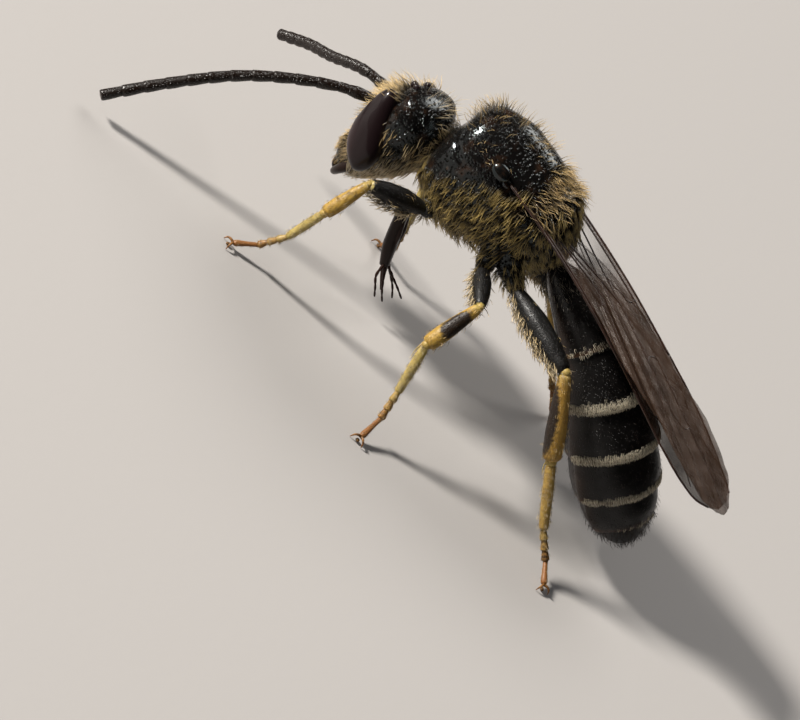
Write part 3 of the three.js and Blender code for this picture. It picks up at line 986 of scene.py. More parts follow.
class BEE_OT_eyes(bpy.types.Operator):
    """Make the two faceted eyes and the three simple eyes on the crown"""

    bl_idname = "bee.eyes"
    bl_label = "Eyes"

    def execute(self, context):
        shell = context.scene.bee_shell
        glaze = glazed_eye(shell)

        front = [(-1, 0.7), (-0.82, 1.05), (-0.6, 1.22), (-0.35, 1.28), (0.02, 1.24), (0.57, 1.0), (1, 0.9)]
        rear = [(-1, 1.2), (-0.5, 1.15), (-0.1, 0.92), (0.25, 0.74), (0.55, 0.7), (1, 0.8)]

        def egg(at, turn):
            """Fuller before and below, narrower above, and notched on its inner side."""
            level = -np.cos(math.pi * at)
            toward = np.sin(np.radians(turn))
            before, behind = (
                smooth_line([((u + 1) / 2, w) for u, w in line], (level + 1) / 2) for line in (front, rear)
            )
            fuller = np.where(toward > 0, before, behind)
            notch = 0.1 * hump(turn, 180, 50) * hump(level, 0.45, 0.35)
            return 1 + (fuller - 1) * np.abs(toward) ** 1.3 - notch

        def haze(at, turn):
            """Painted sheen: the brown shine, painted low on the front of the eye."""
            level = -np.cos(math.pi * at)
            return (1 - ramp(level, -0.6, 0.3)) * hump(turn, 80, 46)

        for word, side in SIDES.items():
            form = Form()
            left, forward, up = head_axes(13, side * -10)
            axes = (left * side, forward, up)
            centre = head_place(side * 0.9, 0.24, 0.06)
            # Each eye carries its painted sheen as a mark for the glaze.
            form.bead(centre, axes, (0.3, 0.36, 0.9), 48, 64, 2.2, egg, haze=haze)
            piece_from(f"bee_eye_{word}", form, glaze, [f"eye_{word}"], side)
        form = Form()
        for left, forward, up in ((0, 0.42, 0.98), (0.22, 0.26, 1.06), (-0.22, 0.26, 1.06)):
            form.bead(head_place(left, forward, up), head_axes(-35), (0.085, 0.085, 0.085), 12, 16)
        piece_from("bee_ocelli", form, glaze)
        return {"FINISHED"}


class BEE_OT_mouth(bpy.types.Operator):
    """Make the clypeus, labrum, jaws and the let-down tongue with its feelers"""

    bl_idname = "bee.mouth"
    bl_label = "Mouth"

    def execute(self, context):
        shell = context.scene.bee_shell
        form = Form()
        form.bead(head_place(0, 0.72, -0.95), head_axes(6), (0.44, 0.25, 0.44), 28, 40, 2.3)
        piece_from("bee_clypeus", form, pitted_shell(shell), ["clypeus"])
        SURFACES["clypeus"] = own_surface("bee_clypeus")
        maroon = mouth_shell(shell)
        for word, side in SIDES.items():
            form = Form()
            path = along([
                head_place(side * 0.46, 0.3, -0.95), head_place(side * 0.47, 0.5, -1.22),
                head_place(side * 0.3, 0.66, -1.45), head_place(side * 0.03, 0.7, -1.53),
            ], rounded(22))
            half = smooth_line([(0, 0.14), (0.3, 0.14), (0.7, 0.11), (1, 0.04)], rounded(22))
            form.tube(path, np.column_stack([half, half * 0.8]), 20, thin=rounded(22))
            piece_from(f"bee_mandible_{word}", form, maroon, [f"mandible_{word}"])
        form = Form()
        form.bead(head_place(0, 0.8, -1.36), head_axes(10), (0.26, 0.12, 0.2), 16, 24, thin=0.3)
        piece_from("bee_labrum", form, maroon)
        self.tongue(maroon)
        return {"FINISHED"}

    def tongue(self, maroon):
        """A stout stem let down under the head, four beaded palps, and the tongue's tip."""
        form = Form()
        stem = [(0.06, -1.08, 2.5), (0.06, -0.87, 1.9), (0.04, -0.63, 1.35), (0, -0.42, 0.95)]
        shares = rounded(24)
        half = smooth_line([(0, 0.12), (0.3, 0.17), (0.75, 0.19), (1, 0.13)], shares)
        form.tube(along(stem, shares), np.column_stack([half, half * 0.8]), 24, thin=0.0)
        for side in (1, -1):
            fold = [(side * 0.1, -0.98, 2.3), (side * 0.12, -0.7, 1.7), (side * 0.09, -0.45, 1.05)]
            blade = smooth_line([(0, 0.03), (0.5, 0.07), (1, 0.02)], shares)
            form.tube(along(fold, shares), np.column_stack([blade, blade * 1.3]), 14, thin=0.5)
        glossa = [(0, -0.45, 1.02), (0, -0.27, 0.74), (0, -0.08, 0.5)]
        half = smooth_line([(0, 0.08), (0.4, 0.06), (1, 0.025)], shares)
        form.tube(along(glossa, shares), half, 14, thin=0.8)
        palps = [
            [(0.12, -0.42, 1.0), (0.22, -0.36, 0.75), (0.22, -0.2, 0.56), (0.16, -0.06, 0.36)],
            [(-0.12, -0.42, 1.0), (-0.2, -0.2, 0.8), (-0.24, 0.02, 0.62), (-0.25, 0.2, 0.42)],
            [(0.07, -0.4, 0.98), (0.1, -0.2, 0.74), (0.1, -0.04, 0.54), (0.06, 0.12, 0.36)],
            [(-0.06, -0.4, 0.98), (-0.14, -0.12, 0.82), (-0.2, 0.12, 0.7), (-0.24, 0.34, 0.58)],
        ]
        for palp in palps:
            shares = np.linspace(0, 1, 48)
            beads = 0.026 + 0.012 * np.abs(np.sin(shares * math.pi * 5))
            form.tube(along(palp, shares), beads * (1 - 0.45 * shares), 12, thin=0.75)
        piece_from("bee_tongue", form, maroon, ["proboscis_base", "proboscis_tip"])


# ---- Feelers ----

FEELERS = {
    "left": (0.17, [head_place(0.3, 0.62, 0.35), (0.6, -3.7, 3.12), (1.45, -5.0, 2.25),
                    (2.4, -5.98, 1.2), (3.1, -6.62, 0.36)]),
    "right": (0.24, [head_place(-0.3, 0.62, 0.35), (-0.5, -3.55, 3.3), (-0.85, -4.3, 2.75),
                     (-1.15, -4.75, 2.43), (-1.4, -5.34, 1.95)]),
}


class BEE_OT_feelers(bpy.types.Operator):
    """Make each feeler: a scape, a small pedicel, and a row of joints"""

    bl_idname = "bee.feelers"
    bl_label = "Feelers"

    def execute(self, context):
        feelers = context.scene.bee_feelers
        shell = feeler_shell(feelers)
        half = feelers.half / MM
        shares = rounded(JOINT_ROWS)
        joint = Form()
        profile = smooth_line([(0, 0.88), (0.15, 0.95), (0.6, 1.0), (0.9, 1.03), (1, 0.94)], shares, 0.03)
        cap = round_ends(shares, 0.03)

        def swollen_beneath(at, turn):
            return 1 + 0.14 * hump(turn, 90, 55) * hump(at, 0.6, 0.26)

        joint.tube(
            np.column_stack([0 * shares, 0 * shares, shares]), profile * cap, 24, up=(1, 0, 0),
            relief=swollen_beneath,
            worn=lambda s, turn: 0.75 * hump(turn, 90, 60) + ramp(s, 0.9, 1) + 0.6 * (1 - ramp(s, 0, 0.1)),
        )
        points, faces, marks = joint.arrays()
        row = joint_row_nodes()
        for word, (scape_share, places) in FEELERS.items():
            form = Form()
            scape = along(places, scape_share * (0.02 + 0.8 * shares))
            girth = smooth_line([(0, 0.07), (0.1, 0.1), (0.75, 0.13), (1, 0.1)], shares) * cap
            form.tube(scape, girth, 24, worn=0.25)
            form.bead(along(places, [0])[0], head_axes(), (0.12, 0.12, 0.12), 14, 20, worn=0.4)
            pedicel = along(places, scape_share * (0.8 + 0.2 * shares))
            form.tube(pedicel, 0.105 * cap, 20, worn=0.3)
            piece_from(f"bee_scape_{word}", form, shell, [f"scape_{word}"])
            ends = np.linspace(scape_share, 1, feelers.joints + 1)
            spots = along(places, ends)
            heading = np.diff(spots, axis=0)
            long = np.linalg.norm(heading, axis=1)
            slim = np.linspace(0.94, 1, feelers.joints)
            slim[-1] = 0.93
            down = np.tile([0.0, 0.0, -1.0], (feelers.joints, 1))
            mesh = new_mesh("feeler_joint", points, faces, marks, own_frame=True)
            pattern = add_object("feeler_joint", mesh)
            stretch = np.column_stack([slim * half, slim * half, long * JOINT_OVERLAP])
            row_marks = {"heading": unit(heading), "lean": down, "stretch": stretch}
            mesh = row.run(spots[:-1], [], row_marks, pattern=pattern, material=shell)
            bpy.data.objects.remove(pattern)
            nodes = [f"flagellum_{word}_{i}" for i in (1, 2, 3)]
            finish_piece(f"bee_flagellum_{word}", in_solids_frame(mesh), shell, nodes)
        return {"FINISHED"}


# ---- Abdomen ----


def swell(shares, widest, front_power, back_power):
    """Girth of a spindle: 1 where it is widest, and 0 at its ends."""
    near = shares < widest
    away = np.where(near, (widest - shares) / widest, (shares - widest) / (1 - widest))
    return np.sqrt(np.maximum(0, 1 - away ** np.where(near, front_power, back_power)))


def tergite_shares():
    """Places along the abdomen, with a close pair at each tergite's rear margin."""
    edges = [0, *TERGITE_MARGINS, 1]
    shares = [0]
    for start, end in zip(edges, edges[1:]):
        count = 26 if start == 0 or end == 1 else 18
        spread = rounded(count) if end in (1, TERGITE_MARGINS[0]) else np.linspace(0, 1, count)
        shares += list(start + (end - start) * spread[1:])
        if end < 1:
            shares.append(end + 0.0025)
    return np.array(shares)


class BEE_OT_abdomen(bpy.types.Operator):
    """Make the abdomen's overlapping plates"""

    bl_idname = "bee.abdomen"
    bl_label = "Abdomen"

    def execute(self, context):
        shell = context.scene.bee_shell
        step = shell.tergite_step / MM
        shares = tergite_shares()
        edges = np.array([0, *TERGITE_MARGINS, 1])
        which = np.clip(np.searchsorted(edges, shares, side="left") - 1, 0, len(edges) - 2)
        within = (shares - edges[which]) / (edges[which + 1] - edges[which])
        last = which == len(edges) - 2
        rise = np.where(last, 0, step * ramp(within, 0, 0.75)) - np.where(last, step, step * (which > 0))
        rise = np.where(which == 0, step * ramp(within, 0.5, 1) - step, rise)
        body = swell(shares, 0.6, 1.35, 2.5)
        inset = 0.02 * np.minimum(1, body * 3)
        half = np.column_stack([
            ABDOMEN_HALF_WIDTH * body - inset + rise * body, ABDOMEN_HALF_HEIGHT * body - inset + rise * body,
        ])

        rows = np.linspace(0, 1, len(shares))
        margins = np.array(TERGITE_MARGINS)[:, None, None]

        def belly(at, turn):
            """The sternites lie inside the tergites' lower edges, which swell toward each margin."""
            low = apart(turn, 270)
            reach = np.interp(at, rows, within * (which > 1))
            return 1 - 0.04 * (1 - ramp(low, 50, 56)) + 0.05 * hump(low, 62, 12) * reach ** 2

        def thin(at, turn):
            """Shell that thins to brown, at the rear margins and low on the sides."""
            place = np.interp(at, rows, shares)
            edge = (place <= margins + 1e-6) * ramp(place, margins - 0.02, margins - 0.002)
            edge = edge.max(axis=0)
            lobe = hump(apart(turn, 270), 56, 14) * 0.8 * (0.4 + 0.6 * edge)
            return np.clip(0.55 * edge + lobe, 0, 1)

        def gloss(at, _turn):
            """The first plate is more polished than the others."""
            return 1 - ramp(np.interp(at, rows, shares), 0.2, 0.3)

        form = Form()
        half = np.maximum(half, 0.01)
        form.tube(
            along(ABDOMEN_SPINE, shares), half, ABDOMEN_SIDES, relief=belly, thin=thin, gloss=gloss,
        )
        nodes = [f"abdomen_{i}" for i in range(1, 7)]
        piece_from("bee_abdomen", form, satin_shell(shell), nodes)
        SURFACES["abdomen"] = own_surface("bee_abdomen")
        SURFACES["abdomen_shares"] = np.append(np.append(0, np.repeat(shares[1:-1], ABDOMEN_SIDES)), 1)
        return {"FINISHED"}


# ---- Legs ----

# Half thickness of each length along its own run, as shares of its greatest.
LEG_SHAPES = {
    "femur": [(0, 0.4), (0.12, 0.66), (0.4, 1), (0.7, 0.92), (0.92, 0.64), (1, 0.5)],
    "tibia": [(0, 0.56), (0.1, 0.66), (0.3, 0.82), (0.65, 1), (0.9, 0.96), (1, 0.78)],
    "basitarsus": [(0, 0.66), (0.12, 0.96), (0.5, 1), (0.85, 0.9), (1, 0.78)],
    "tarsomere": [(0, 0.66), (0.3, 0.76), (0.8, 1.02), (0.94, 1.0), (1, 0.8)],
    "claw_joint": [(0, 0.7), (0.4, 0.74), (0.85, 1.02), (1, 0.85)],
}
LEG_HALVES = {
    "fore": {"femur": 0.245, "tibia": 0.155, "basitarsus": 0.1, "tarsomere": 0.082, "claw_joint": 0.068},
    "middle": {"femur": 0.2, "tibia": 0.18, "basitarsus": 0.105, "tarsomere": 0.085, "claw_joint": 0.07},
    "hind": {"femur": 0.28, "tibia": 0.23, "basitarsus": 0.125, "tarsomere": 0.09, "claw_joint": 0.072},
}
# Where the umber patch of each shin faces: out to its own side, back and up; and where it
# runs, in shares of the shin, how far round it reaches, in degrees, and how dark it is.
SHIN_PATCHES = {
    "fore": ((0.1, -0.3, 1.0), 0.15, 0.55, 30, 0.3),
    "middle": ((0.75, 0.1, 0.7), 0.26, 0.68, 88, 1.0),
    "hind": ((0.5, -0.85, -0.1), 0.2, 0.86, 78, 1.0),
}
FINGERS = 3  # short joints between the long first joint of the foot and the claw joint


class BEE_OT_legs(bpy.types.Operator):
    """Make the six jointed legs with their spurs, claws and pads"""

    bl_idname = "bee.legs"
    bl_label = "Legs"

    def execute(self, context):
        shell = leg_shell(context.scene.bee_shell)
        for word, side in SIDES.items():
            gathered = Form()
            for pair in LEG_PAIRS:
                form = Form()
                self.leg(form, pair, word, side)
                nodes = [f"{part}_{pair}_{word}" for part in ("femur", "tibia", "tarsus")]
                piece_from(f"bee_leg_{pair}_{word}", form, shell, nodes)
                points, faces, marks = form.arrays()
                gathered.add(points, faces, **marks)
            SURFACES[f"legs_{word}"] = gathered.arrays()
        return {"FINISHED"}

    def length(self, form, start, end, part, pair, sides=26, rings=30, **marks):
        """One length of the leg, with its ends rounded."""
        start, end = np.array(start), np.array(end)
        run = np.linalg.norm(end - start)
        half = LEG_HALVES[pair][part]
        shares = rounded(rings)
        profile = smooth_line(LEG_SHAPES[part], shares) * half * round_ends(shares, 0.45 * half / run)
        path = start + shares[:, None] * (end - start)
        form.tube(path, np.column_stack([profile, profile * 0.92]), sides, **marks)

    def patch(self, start, end, pair, side):
        """A mark that runs down the shin on the side that its patch faces."""
        (out, back, up), first, last, spread, depth = SHIN_PATCHES[pair]
        path = np.array([start, (np.array(start) + end) / 2, end])
        _, across, rise = carried_frames(path, (0, 0, 1))
        toward = np.array([side * out, back, up])
        middle = math.degrees(math.atan2(rise[1] @ toward, across[1] @ toward))

        def mark(at, turn):
            off = apart(turn, middle) / spread
            run = (2 * at - first - last) / (last - first)
            return depth * (1 - ramp(np.hypot(off, run), 0.55, 1.25))

        return mark

    def leg(self, form, pair, word, side):
        """Knuckle, thigh, shin and foot, with a bead in each joint."""
        knuckle, knee, ankle, heel, toe, foot = leg_joints(pair, word)[1:]
        hind = pair == "hind"
        half = LEG_HALVES[pair]
        knee_pale = 0.95 if hind else 0.9  # share of the thigh from which it pales to the knee
        form.bead(knuckle + (0, 0, 0.02), np.eye(3), [0.17] * 3, 16, 22, dark=1, fur=0.12)
        self.length(
            form, knuckle, knee, "femur", pair, pale=1.0, fur=0.16, under=1.0,
            dark=lambda at, turn: 1 - ramp(at, knee_pale - 0.06, knee_pale + 0.04),
        )
        form.bead(knee, np.eye(3), [half["tibia"] * 0.46] * 3, 14, 20, pale=0.5, fur=0.0)
        form.bead(ankle, np.eye(3), [half["basitarsus"] * 0.95] * 3, 14, 20, pale=0.4, fur=0.0)
        form.bead(toe, np.eye(3), [half["claw_joint"] * 0.8] * 3, 12, 16, rust=0.6, fur=0.0)
        self.length(
            form, knee, ankle, "tibia", pair, patch=self.patch(knee, ankle, pair, side),
            pale=lambda at, turn: 0.75 * (1 - ramp(at, 0.04, 0.3)) + 0.25 * ramp(at, 0.9, 1),
            fur=0.13, rust=0.22 if hind else 0.0,
        )
        self.length(
            form, ankle, heel, "basitarsus", pair, fur=0.1, rust=0.15 if hind else 0.0,
            pale=0.25 if hind else 0.75, patch=lambda at, turn: 0.3 * ramp(at, 0.9, 1),
        )
        for i in range(FINGERS):
            start = heel + (toe - heel) * (i - 0.25) / FINGERS
            end = heel + (toe - heel) * (i + 1.06) / FINGERS
            brown = (0.3 if hind else 0.05) + 0.1 * i
            self.length(
                form, start, end, "tarsomere", pair, 20, 18, fur=0.08, pale=0.6 - 0.2 * i,
                patch=lambda at, turn: brown + 0.4 * (1 - ramp(at, 0.1, 0.3)), rust=0.25 + 0.2 * i,
            )
        tip = foot + (0, 0, -0.06)
        self.length(form, toe, tip, "claw_joint", pair, 20, 20, fur=0.06, rust=0.9, patch=0.1)
        self.claws(form, toe, tip)
        if pair != "fore":
            self.spurs(form, ankle, heel, side)

    def claws(self, form, toe, tip):
        """Two claws, spread over the floor, and the pad between them."""
        ahead = unit((tip - toe) * (1, 1, 0))
        across = np.array([-ahead[1], ahead[0], 0])
        floor = 0.012
        for hand in (1, -1):
            places = [
                tip, tip + 0.05 * ahead + hand * 0.06 * across + (0, 0, 0.02),
                tip + 0.1 * ahead + hand * 0.12 * across + (0, 0, -0.01),
                (*(tip + 0.12 * ahead + hand * 0.16 * across)[:2], floor),
            ]
            half = smooth_line([(0, 0.03), (0.5, 0.024), (1, 0.007)], rounded(16))
            form.tube(along(places, rounded(16)), half, 12, rust=0.8, patch=0.35, fur=0.0)
        pad = np.array([*(tip + 0.05 * ahead)[:2], 0.045])
        form.bead(pad, [across, ahead, (0, 0, 1)], (0.045, 0.06, 0.035), 12, 16, rust=0.7, patch=0.5, fur=0.0)

    def spurs(self, form, ankle, heel, side):
        """Two fine pale spurs under the end of the shin."""
        ahead = unit(heel - ankle)
        for spread in (0.06, -0.05):
            out = np.array([side * 0.5, -0.5, -0.6]) * 0.12 + np.array([0, spread, 0])
            places = [
                ankle - 0.04 * ahead + out * 0.6, ankle + 0.12 * ahead + out,
                ankle + 0.28 * ahead + out * 1.1,
            ]
            half = smooth_line([(0, 0.016), (1, 0.004)], rounded(10))
            form.tube(along(places, rounded(10)), half, 8, pale=0.8, fur=0.0)


# ---- Wings ----

# Outlines in shares of the wing pair's width (out from the leading edge) and of its length.
FOREWING = {
    "from": 0.0, "to": 1.0,
    "lead": [
        (0, 0), (0.3, 0.02), (0.6, 0.03), (0.8, -0.02), (0.9, -0.08), (0.96, -0.17), (0.99, -0.3), (1, -0.5),
    ],
    "trail": [
        (0, -0.07), (0.1, -0.24), (0.35, -0.6), (0.6, -0.9), (0.8, -1), (0.92, -0.92), (0.97, -0.8),
        (0.99, -0.68), (1, -0.52),
    ],
}
HINDWING = {
    "from": 0.03, "to": 0.68,
    "lead": [(0, -0.06), (0.3, -0.34), (0.7, -0.66), (0.9, -0.8), (1, -0.9)],
    "trail": [(0, -0.12), (0.2, -0.5), (0.45, -0.88), (0.7, -1.0), (0.9, -0.99), (1, -0.93)],
}
# Veins: relative thickness, then places as (across, along) shares.
FORE_VEINS = [
    (1.3, [(0.0, 0.0), (0.012, 0.2), (0.02, 0.4), (0.0, 0.6)]),
    (1.2, [(-0.055, 0.01), (-0.05, 0.3), (-0.055, 0.5), (-0.035, 0.6)]),
    (2.1, [(-0.03, 0.58), (-0.05, 0.63), (-0.035, 0.69)]),
    (1.2, [(0.01, 0.6), (0.015, 0.72), (-0.03, 0.84), (-0.12, 0.93), (-0.24, 0.972)]),
    (0.7, [(-0.08, 0.66), (-0.2, 0.74), (-0.22, 0.82), (-0.14, 0.9)]),
    (0.8, [(-0.06, 0.43), (-0.2, 0.42), (-0.3, 0.37), (-0.34, 0.33)]),
    (0.8, [(-0.07, 0.03), (-0.2, 0.18), (-0.34, 0.33), (-0.45, 0.48)]),
    (0.65, [(-0.14, 0.43), (-0.24, 0.52), (-0.33, 0.62), (-0.39, 0.74), (-0.41, 0.86)]),
    (0.6, [(-0.06, 0.55), (-0.16, 0.55), (-0.26, 0.54)]),
    (0.55, [(-0.2, 0.73), (-0.3, 0.71), (-0.38, 0.72)]),
    (0.55, [(-0.15, 0.68), (-0.25, 0.64), (-0.34, 0.63)]),
    (0.65, [(-0.45, 0.48), (-0.56, 0.6), (-0.72, 0.69)]),
    (0.55, [(-0.3, 0.58), (-0.42, 0.56), (-0.53, 0.57)]),
    (0.55, [(-0.4, 0.77), (-0.54, 0.75), (-0.64, 0.65)]),
    (0.75, [(-0.08, 0.03), (-0.3, 0.17), (-0.5, 0.32), (-0.62, 0.43)]),
    (0.5, [(-0.34, 0.33), (-0.42, 0.32), (-0.49, 0.31)]),
]
HIND_VEINS = [
    (0.7, [(-0.1, 0.05), (-0.33, 0.22), (-0.56, 0.4), (-0.7, 0.5)]),
    (0.5, [(-0.18, 0.08), (-0.5, 0.27), (-0.8, 0.48)]),
    (0.4, [(-0.2, 0.08), (-0.6, 0.22), (-0.92, 0.36)]),
]


WING_LAYER = 0.03  # the left pair lies over the right one
HINDWING_DROP = -0.045


def wing_places(word, across, run, lift):
    """Places on a folded wing: `across` its width and its `run` in shares, `lift` in millimetres."""
    across, run, lift = np.broadcast_arrays(across, run, lift)
    side = SIDES[word]
    local = np.stack([
        side * across * WING_WIDTH[word], run * WING_LENGTH,
        lift + WING_BOW * np.sin(math.pi * np.clip(run, 0, 1)),
    ], axis=-1)
    turn = Matrix.Rotation(math.radians(WING_HEADING[word]), 3, "Z")
    turn = turn @ Matrix.Rotation(math.radians(-WING_DROOP), 3, "X")
    return local @ np.array(turn).T + np.array(WING_ROOT[word])


class BEE_OT_wings(bpy.types.Operator):
    """Make the folded wings, their veins, and the shields over their roots"""

    bl_idname = "bee.wings"
    bl_label = "Wings"

    def execute(self, context):
        wings = context.scene.bee_wings
        membrane, vein = wing_membrane(wings), wing_vein(wings)
        shield = polished_shell(context.scene.bee_shell)
        for word, side in SIDES.items():
            form = Form()
            centre = (side * 1.1, -0.2, THORAX_HEIGHT + 0.62)
            axes = unit(np.array([(side * 0.5, 0, -0.85), (0, 1, 0), (side * 0.85, 0, 0.5)]))
            form.bead(centre, axes, (0.16, 0.22, 0.1), 20, 28, 2.3)
            for place, half in (((0.97, -0.92, 4.0), 0.13), ((0.98, 0.05, 4.66), 0.09)):
                form.bead(np.array(place) * (side, 1, 1), axes, (half, half * 1.2, half), 14, 20)
            piece_from(f"bee_tegula_{word}", form, shield, [f"tegula_{word}"], side)
            film, ribs = Form(), Form()
            base = side * WING_LAYER
            for outline, drop, veins in ((FOREWING, 0.0, FORE_VEINS), (HINDWING, HINDWING_DROP, HIND_VEINS)):
                self.film(film, word, side, outline, base + drop, wings)
                for thickness, places in veins:
                    self.rib(ribs, word, places, thickness, base + drop, wings)
            piece_from(f"bee_wing_{word}", film, membrane, [f"wing_{word}"])
            piece_from(f"bee_veins_{word}", ribs, vein)
        return {"FINISHED"}

    def raised(self, word, across, run, wrinkle):
        """Height of a wing: it falls away toward its leading edge and tip, and is creased.

        Low folds fan out from the root, and finer creases lie near the tip.
        """
        fan = across / (0.25 + run)
        folds = np.sin(26 * fan) * 0.6 + np.sin(47 * fan + 3 * run) * 0.3
        fine = np.sin(90 * run + 21 * across) * np.sin(37 * across - 14 * run) * 0.35
        creases = wrinkle / MM * (folds * ramp(run, 0.02, 0.3) + fine * ramp(run, 0.35, 0.8))
        return creases - WING_FALL[word] * np.clip(1 + across, 0, 1) ** 1.3 * ramp(run, 0.05, 0.95)

    def film(self, form, word, side, outline, lift, wings):
        """A thin closed sheet inside an outline, clearer in places."""
        long, wide = WING_MESH
        own = 1 - (1 - np.linspace(0, 1, long)) ** 1.4
        own = np.clip(own, 0, 0.998)[:, None]
        lead = smooth_line(outline["lead"], own[:, 0], 0.04)[:, None]
        trail = smooth_line(outline["trail"], own[:, 0], 0.04)[:, None]
        across = lead + (trail - lead) * np.linspace(0, 1, wide)[None]
        run = outline["from"] + (outline["to"] - outline["from"]) * np.broadcast_to(own, across.shape)
        height = lift + self.raised(word, across, run, wings.wrinkle)
        half = wings.membrane / MM / 2
        top = wing_places(word, across, run, height + half).reshape(-1, 3)
        under = wing_places(word, across, run, height - half).reshape(-1, 3)
        index = np.arange(long * wide).reshape(long, wide)
        below = index + long * wide
        a, b, c, d = index[:-1, :-1], index[1:, :-1], index[1:, 1:], index[:-1, 1:]
        faces = list(zip(a.ravel(), b.ravel(), c.ravel(), d.ravel()))
        a, b, c, d = below[:-1, :-1], below[:-1, 1:], below[1:, 1:], below[1:, :-1]
        faces += list(zip(a.ravel(), b.ravel(), c.ravel(), d.ravel()))
        rim = np.concatenate([index[0, :-1], index[:-1, -1], index[-1, :0:-1], index[:0:-1, 0]])
        after = np.roll(rim, -1)
        faces += list(zip(rim, after, after + long * wide, rim + long * wide))
        faces = [face[::side] for face in faces]
        to_rim = 1 - np.linspace(0, 1, wide)[None]
        strip = (1 - ramp(-across, 0.05, 0.09)) * (1 - ramp(run, 0.3, 0.5)) + (1 - ramp(run, 0.02, 0.1))
        clear = (1 - ramp(run, 0.2, 0.42)) * (1 - np.clip(strip, 0, 0.8))
        clear += 0.2 * (1 - ramp(to_rim, 0.01, 0.05)) * ramp(run, 0.6, 0.8)
        form.add(np.vstack([top, under]), faces, clear=np.tile(np.clip(clear, 0, 1).ravel(), 2))

    def rib(self, form, word, places, thickness, lift, wings):
        """One vein, which lies in the film and thins toward the wing's tip."""
        shares = rounded(20)
        flat = along([(x, y, 0) for x, y in places], shares)
        height = lift + self.raised(word, flat[:, 0], flat[:, 1], wings.wrinkle)
        path = wing_places(word, flat[:, 0], flat[:, 1], height)
        half = wings.vein / MM * thickness * (1 - 0.35 * shares * (thickness < 1)) * (1 - 0.3 * flat[:, 1])
        form.tube(path, np.column_stack([half, np.minimum(half, 0.02)]), 10)


# ---- Coat ----


def on_head(points):
    """Which points of the skin belong to the head."""
    left, forward, up = in_head(points)
    inside = (left / 1.2) ** 2 + (forward / 0.95) ** 2 + ((up + 0.1) / 1.5) ** 2 < 1
    return inside & (points[:, 1] < -1.15)


def tangent(vectors, normals):
    """Vectors laid down onto the surface."""
    vectors = np.broadcast_to(np.asarray(vectors, float), normals.shape)
    flat = vectors - normals * (vectors * normals).sum(1, keepdims=True)
    return unit(flat)


def unwrapped(roots, lines):
    """Where roots lie on an unwrap of limbs round their own lines, each line on its own strip."""
    best = np.full(len(roots), np.inf)
    spots = np.zeros((len(roots), 2))
    for i, (start, end) in enumerate(lines):
        start, end = np.array(start, float), np.array(end, float)
        axis = end - start
        run = np.clip((roots - start) @ axis / (axis @ axis), 0, 1)
        away = roots - start - run[:, None] * axis
        distance = np.linalg.norm(away, axis=1)
        ahead = unit(axis)
        side = unit(np.cross(ahead, (0.31, 0.17, 0.93)))
        turn = np.arctan2(away @ np.cross(side, ahead), away @ side) / (2 * math.pi) + 0.5
        nearer = distance < best
        best[nearer] = distance[nearer]
        spots[nearer] = np.column_stack([(i + 0.02 + 0.96 * turn) / len(lines), 0.01 + 0.98 * run])[nearer]
    return spots


def leg_lines(word):
    """The runs of all lengths of the legs on one side, from the knuckles out."""
    rows = [leg_joints(pair, word)[1:] for pair in LEG_PAIRS]
    return [line for joints in rows for line in zip(joints, joints[1:])]


LINES = {
    "head": [(head_place(0, -0.1, -1.3), head_place(0, 0.1, 1.1))],
    "thorax": [((0, -1.5, 4.1), (0, 1.9, 4.0))],
    "abdomen": list(zip(ABDOMEN_SPINE, ABDOMEN_SPINE[1:])),
    **{f"legs_{word}": leg_lines(word) for word in SIDES},
}

PATCH = 0.003  # width of one tuft's patch on the map
TRIANGLE_LIMIT = 199000  # of one piece
# For each tergite's hair band: its width, as a share of the abdomen's length, and how full it is.
BANDS = [(0.03, 0.16), (0.034, 1), (0.03, 1), (0.024, 0.65), (0.016, 0.2)]


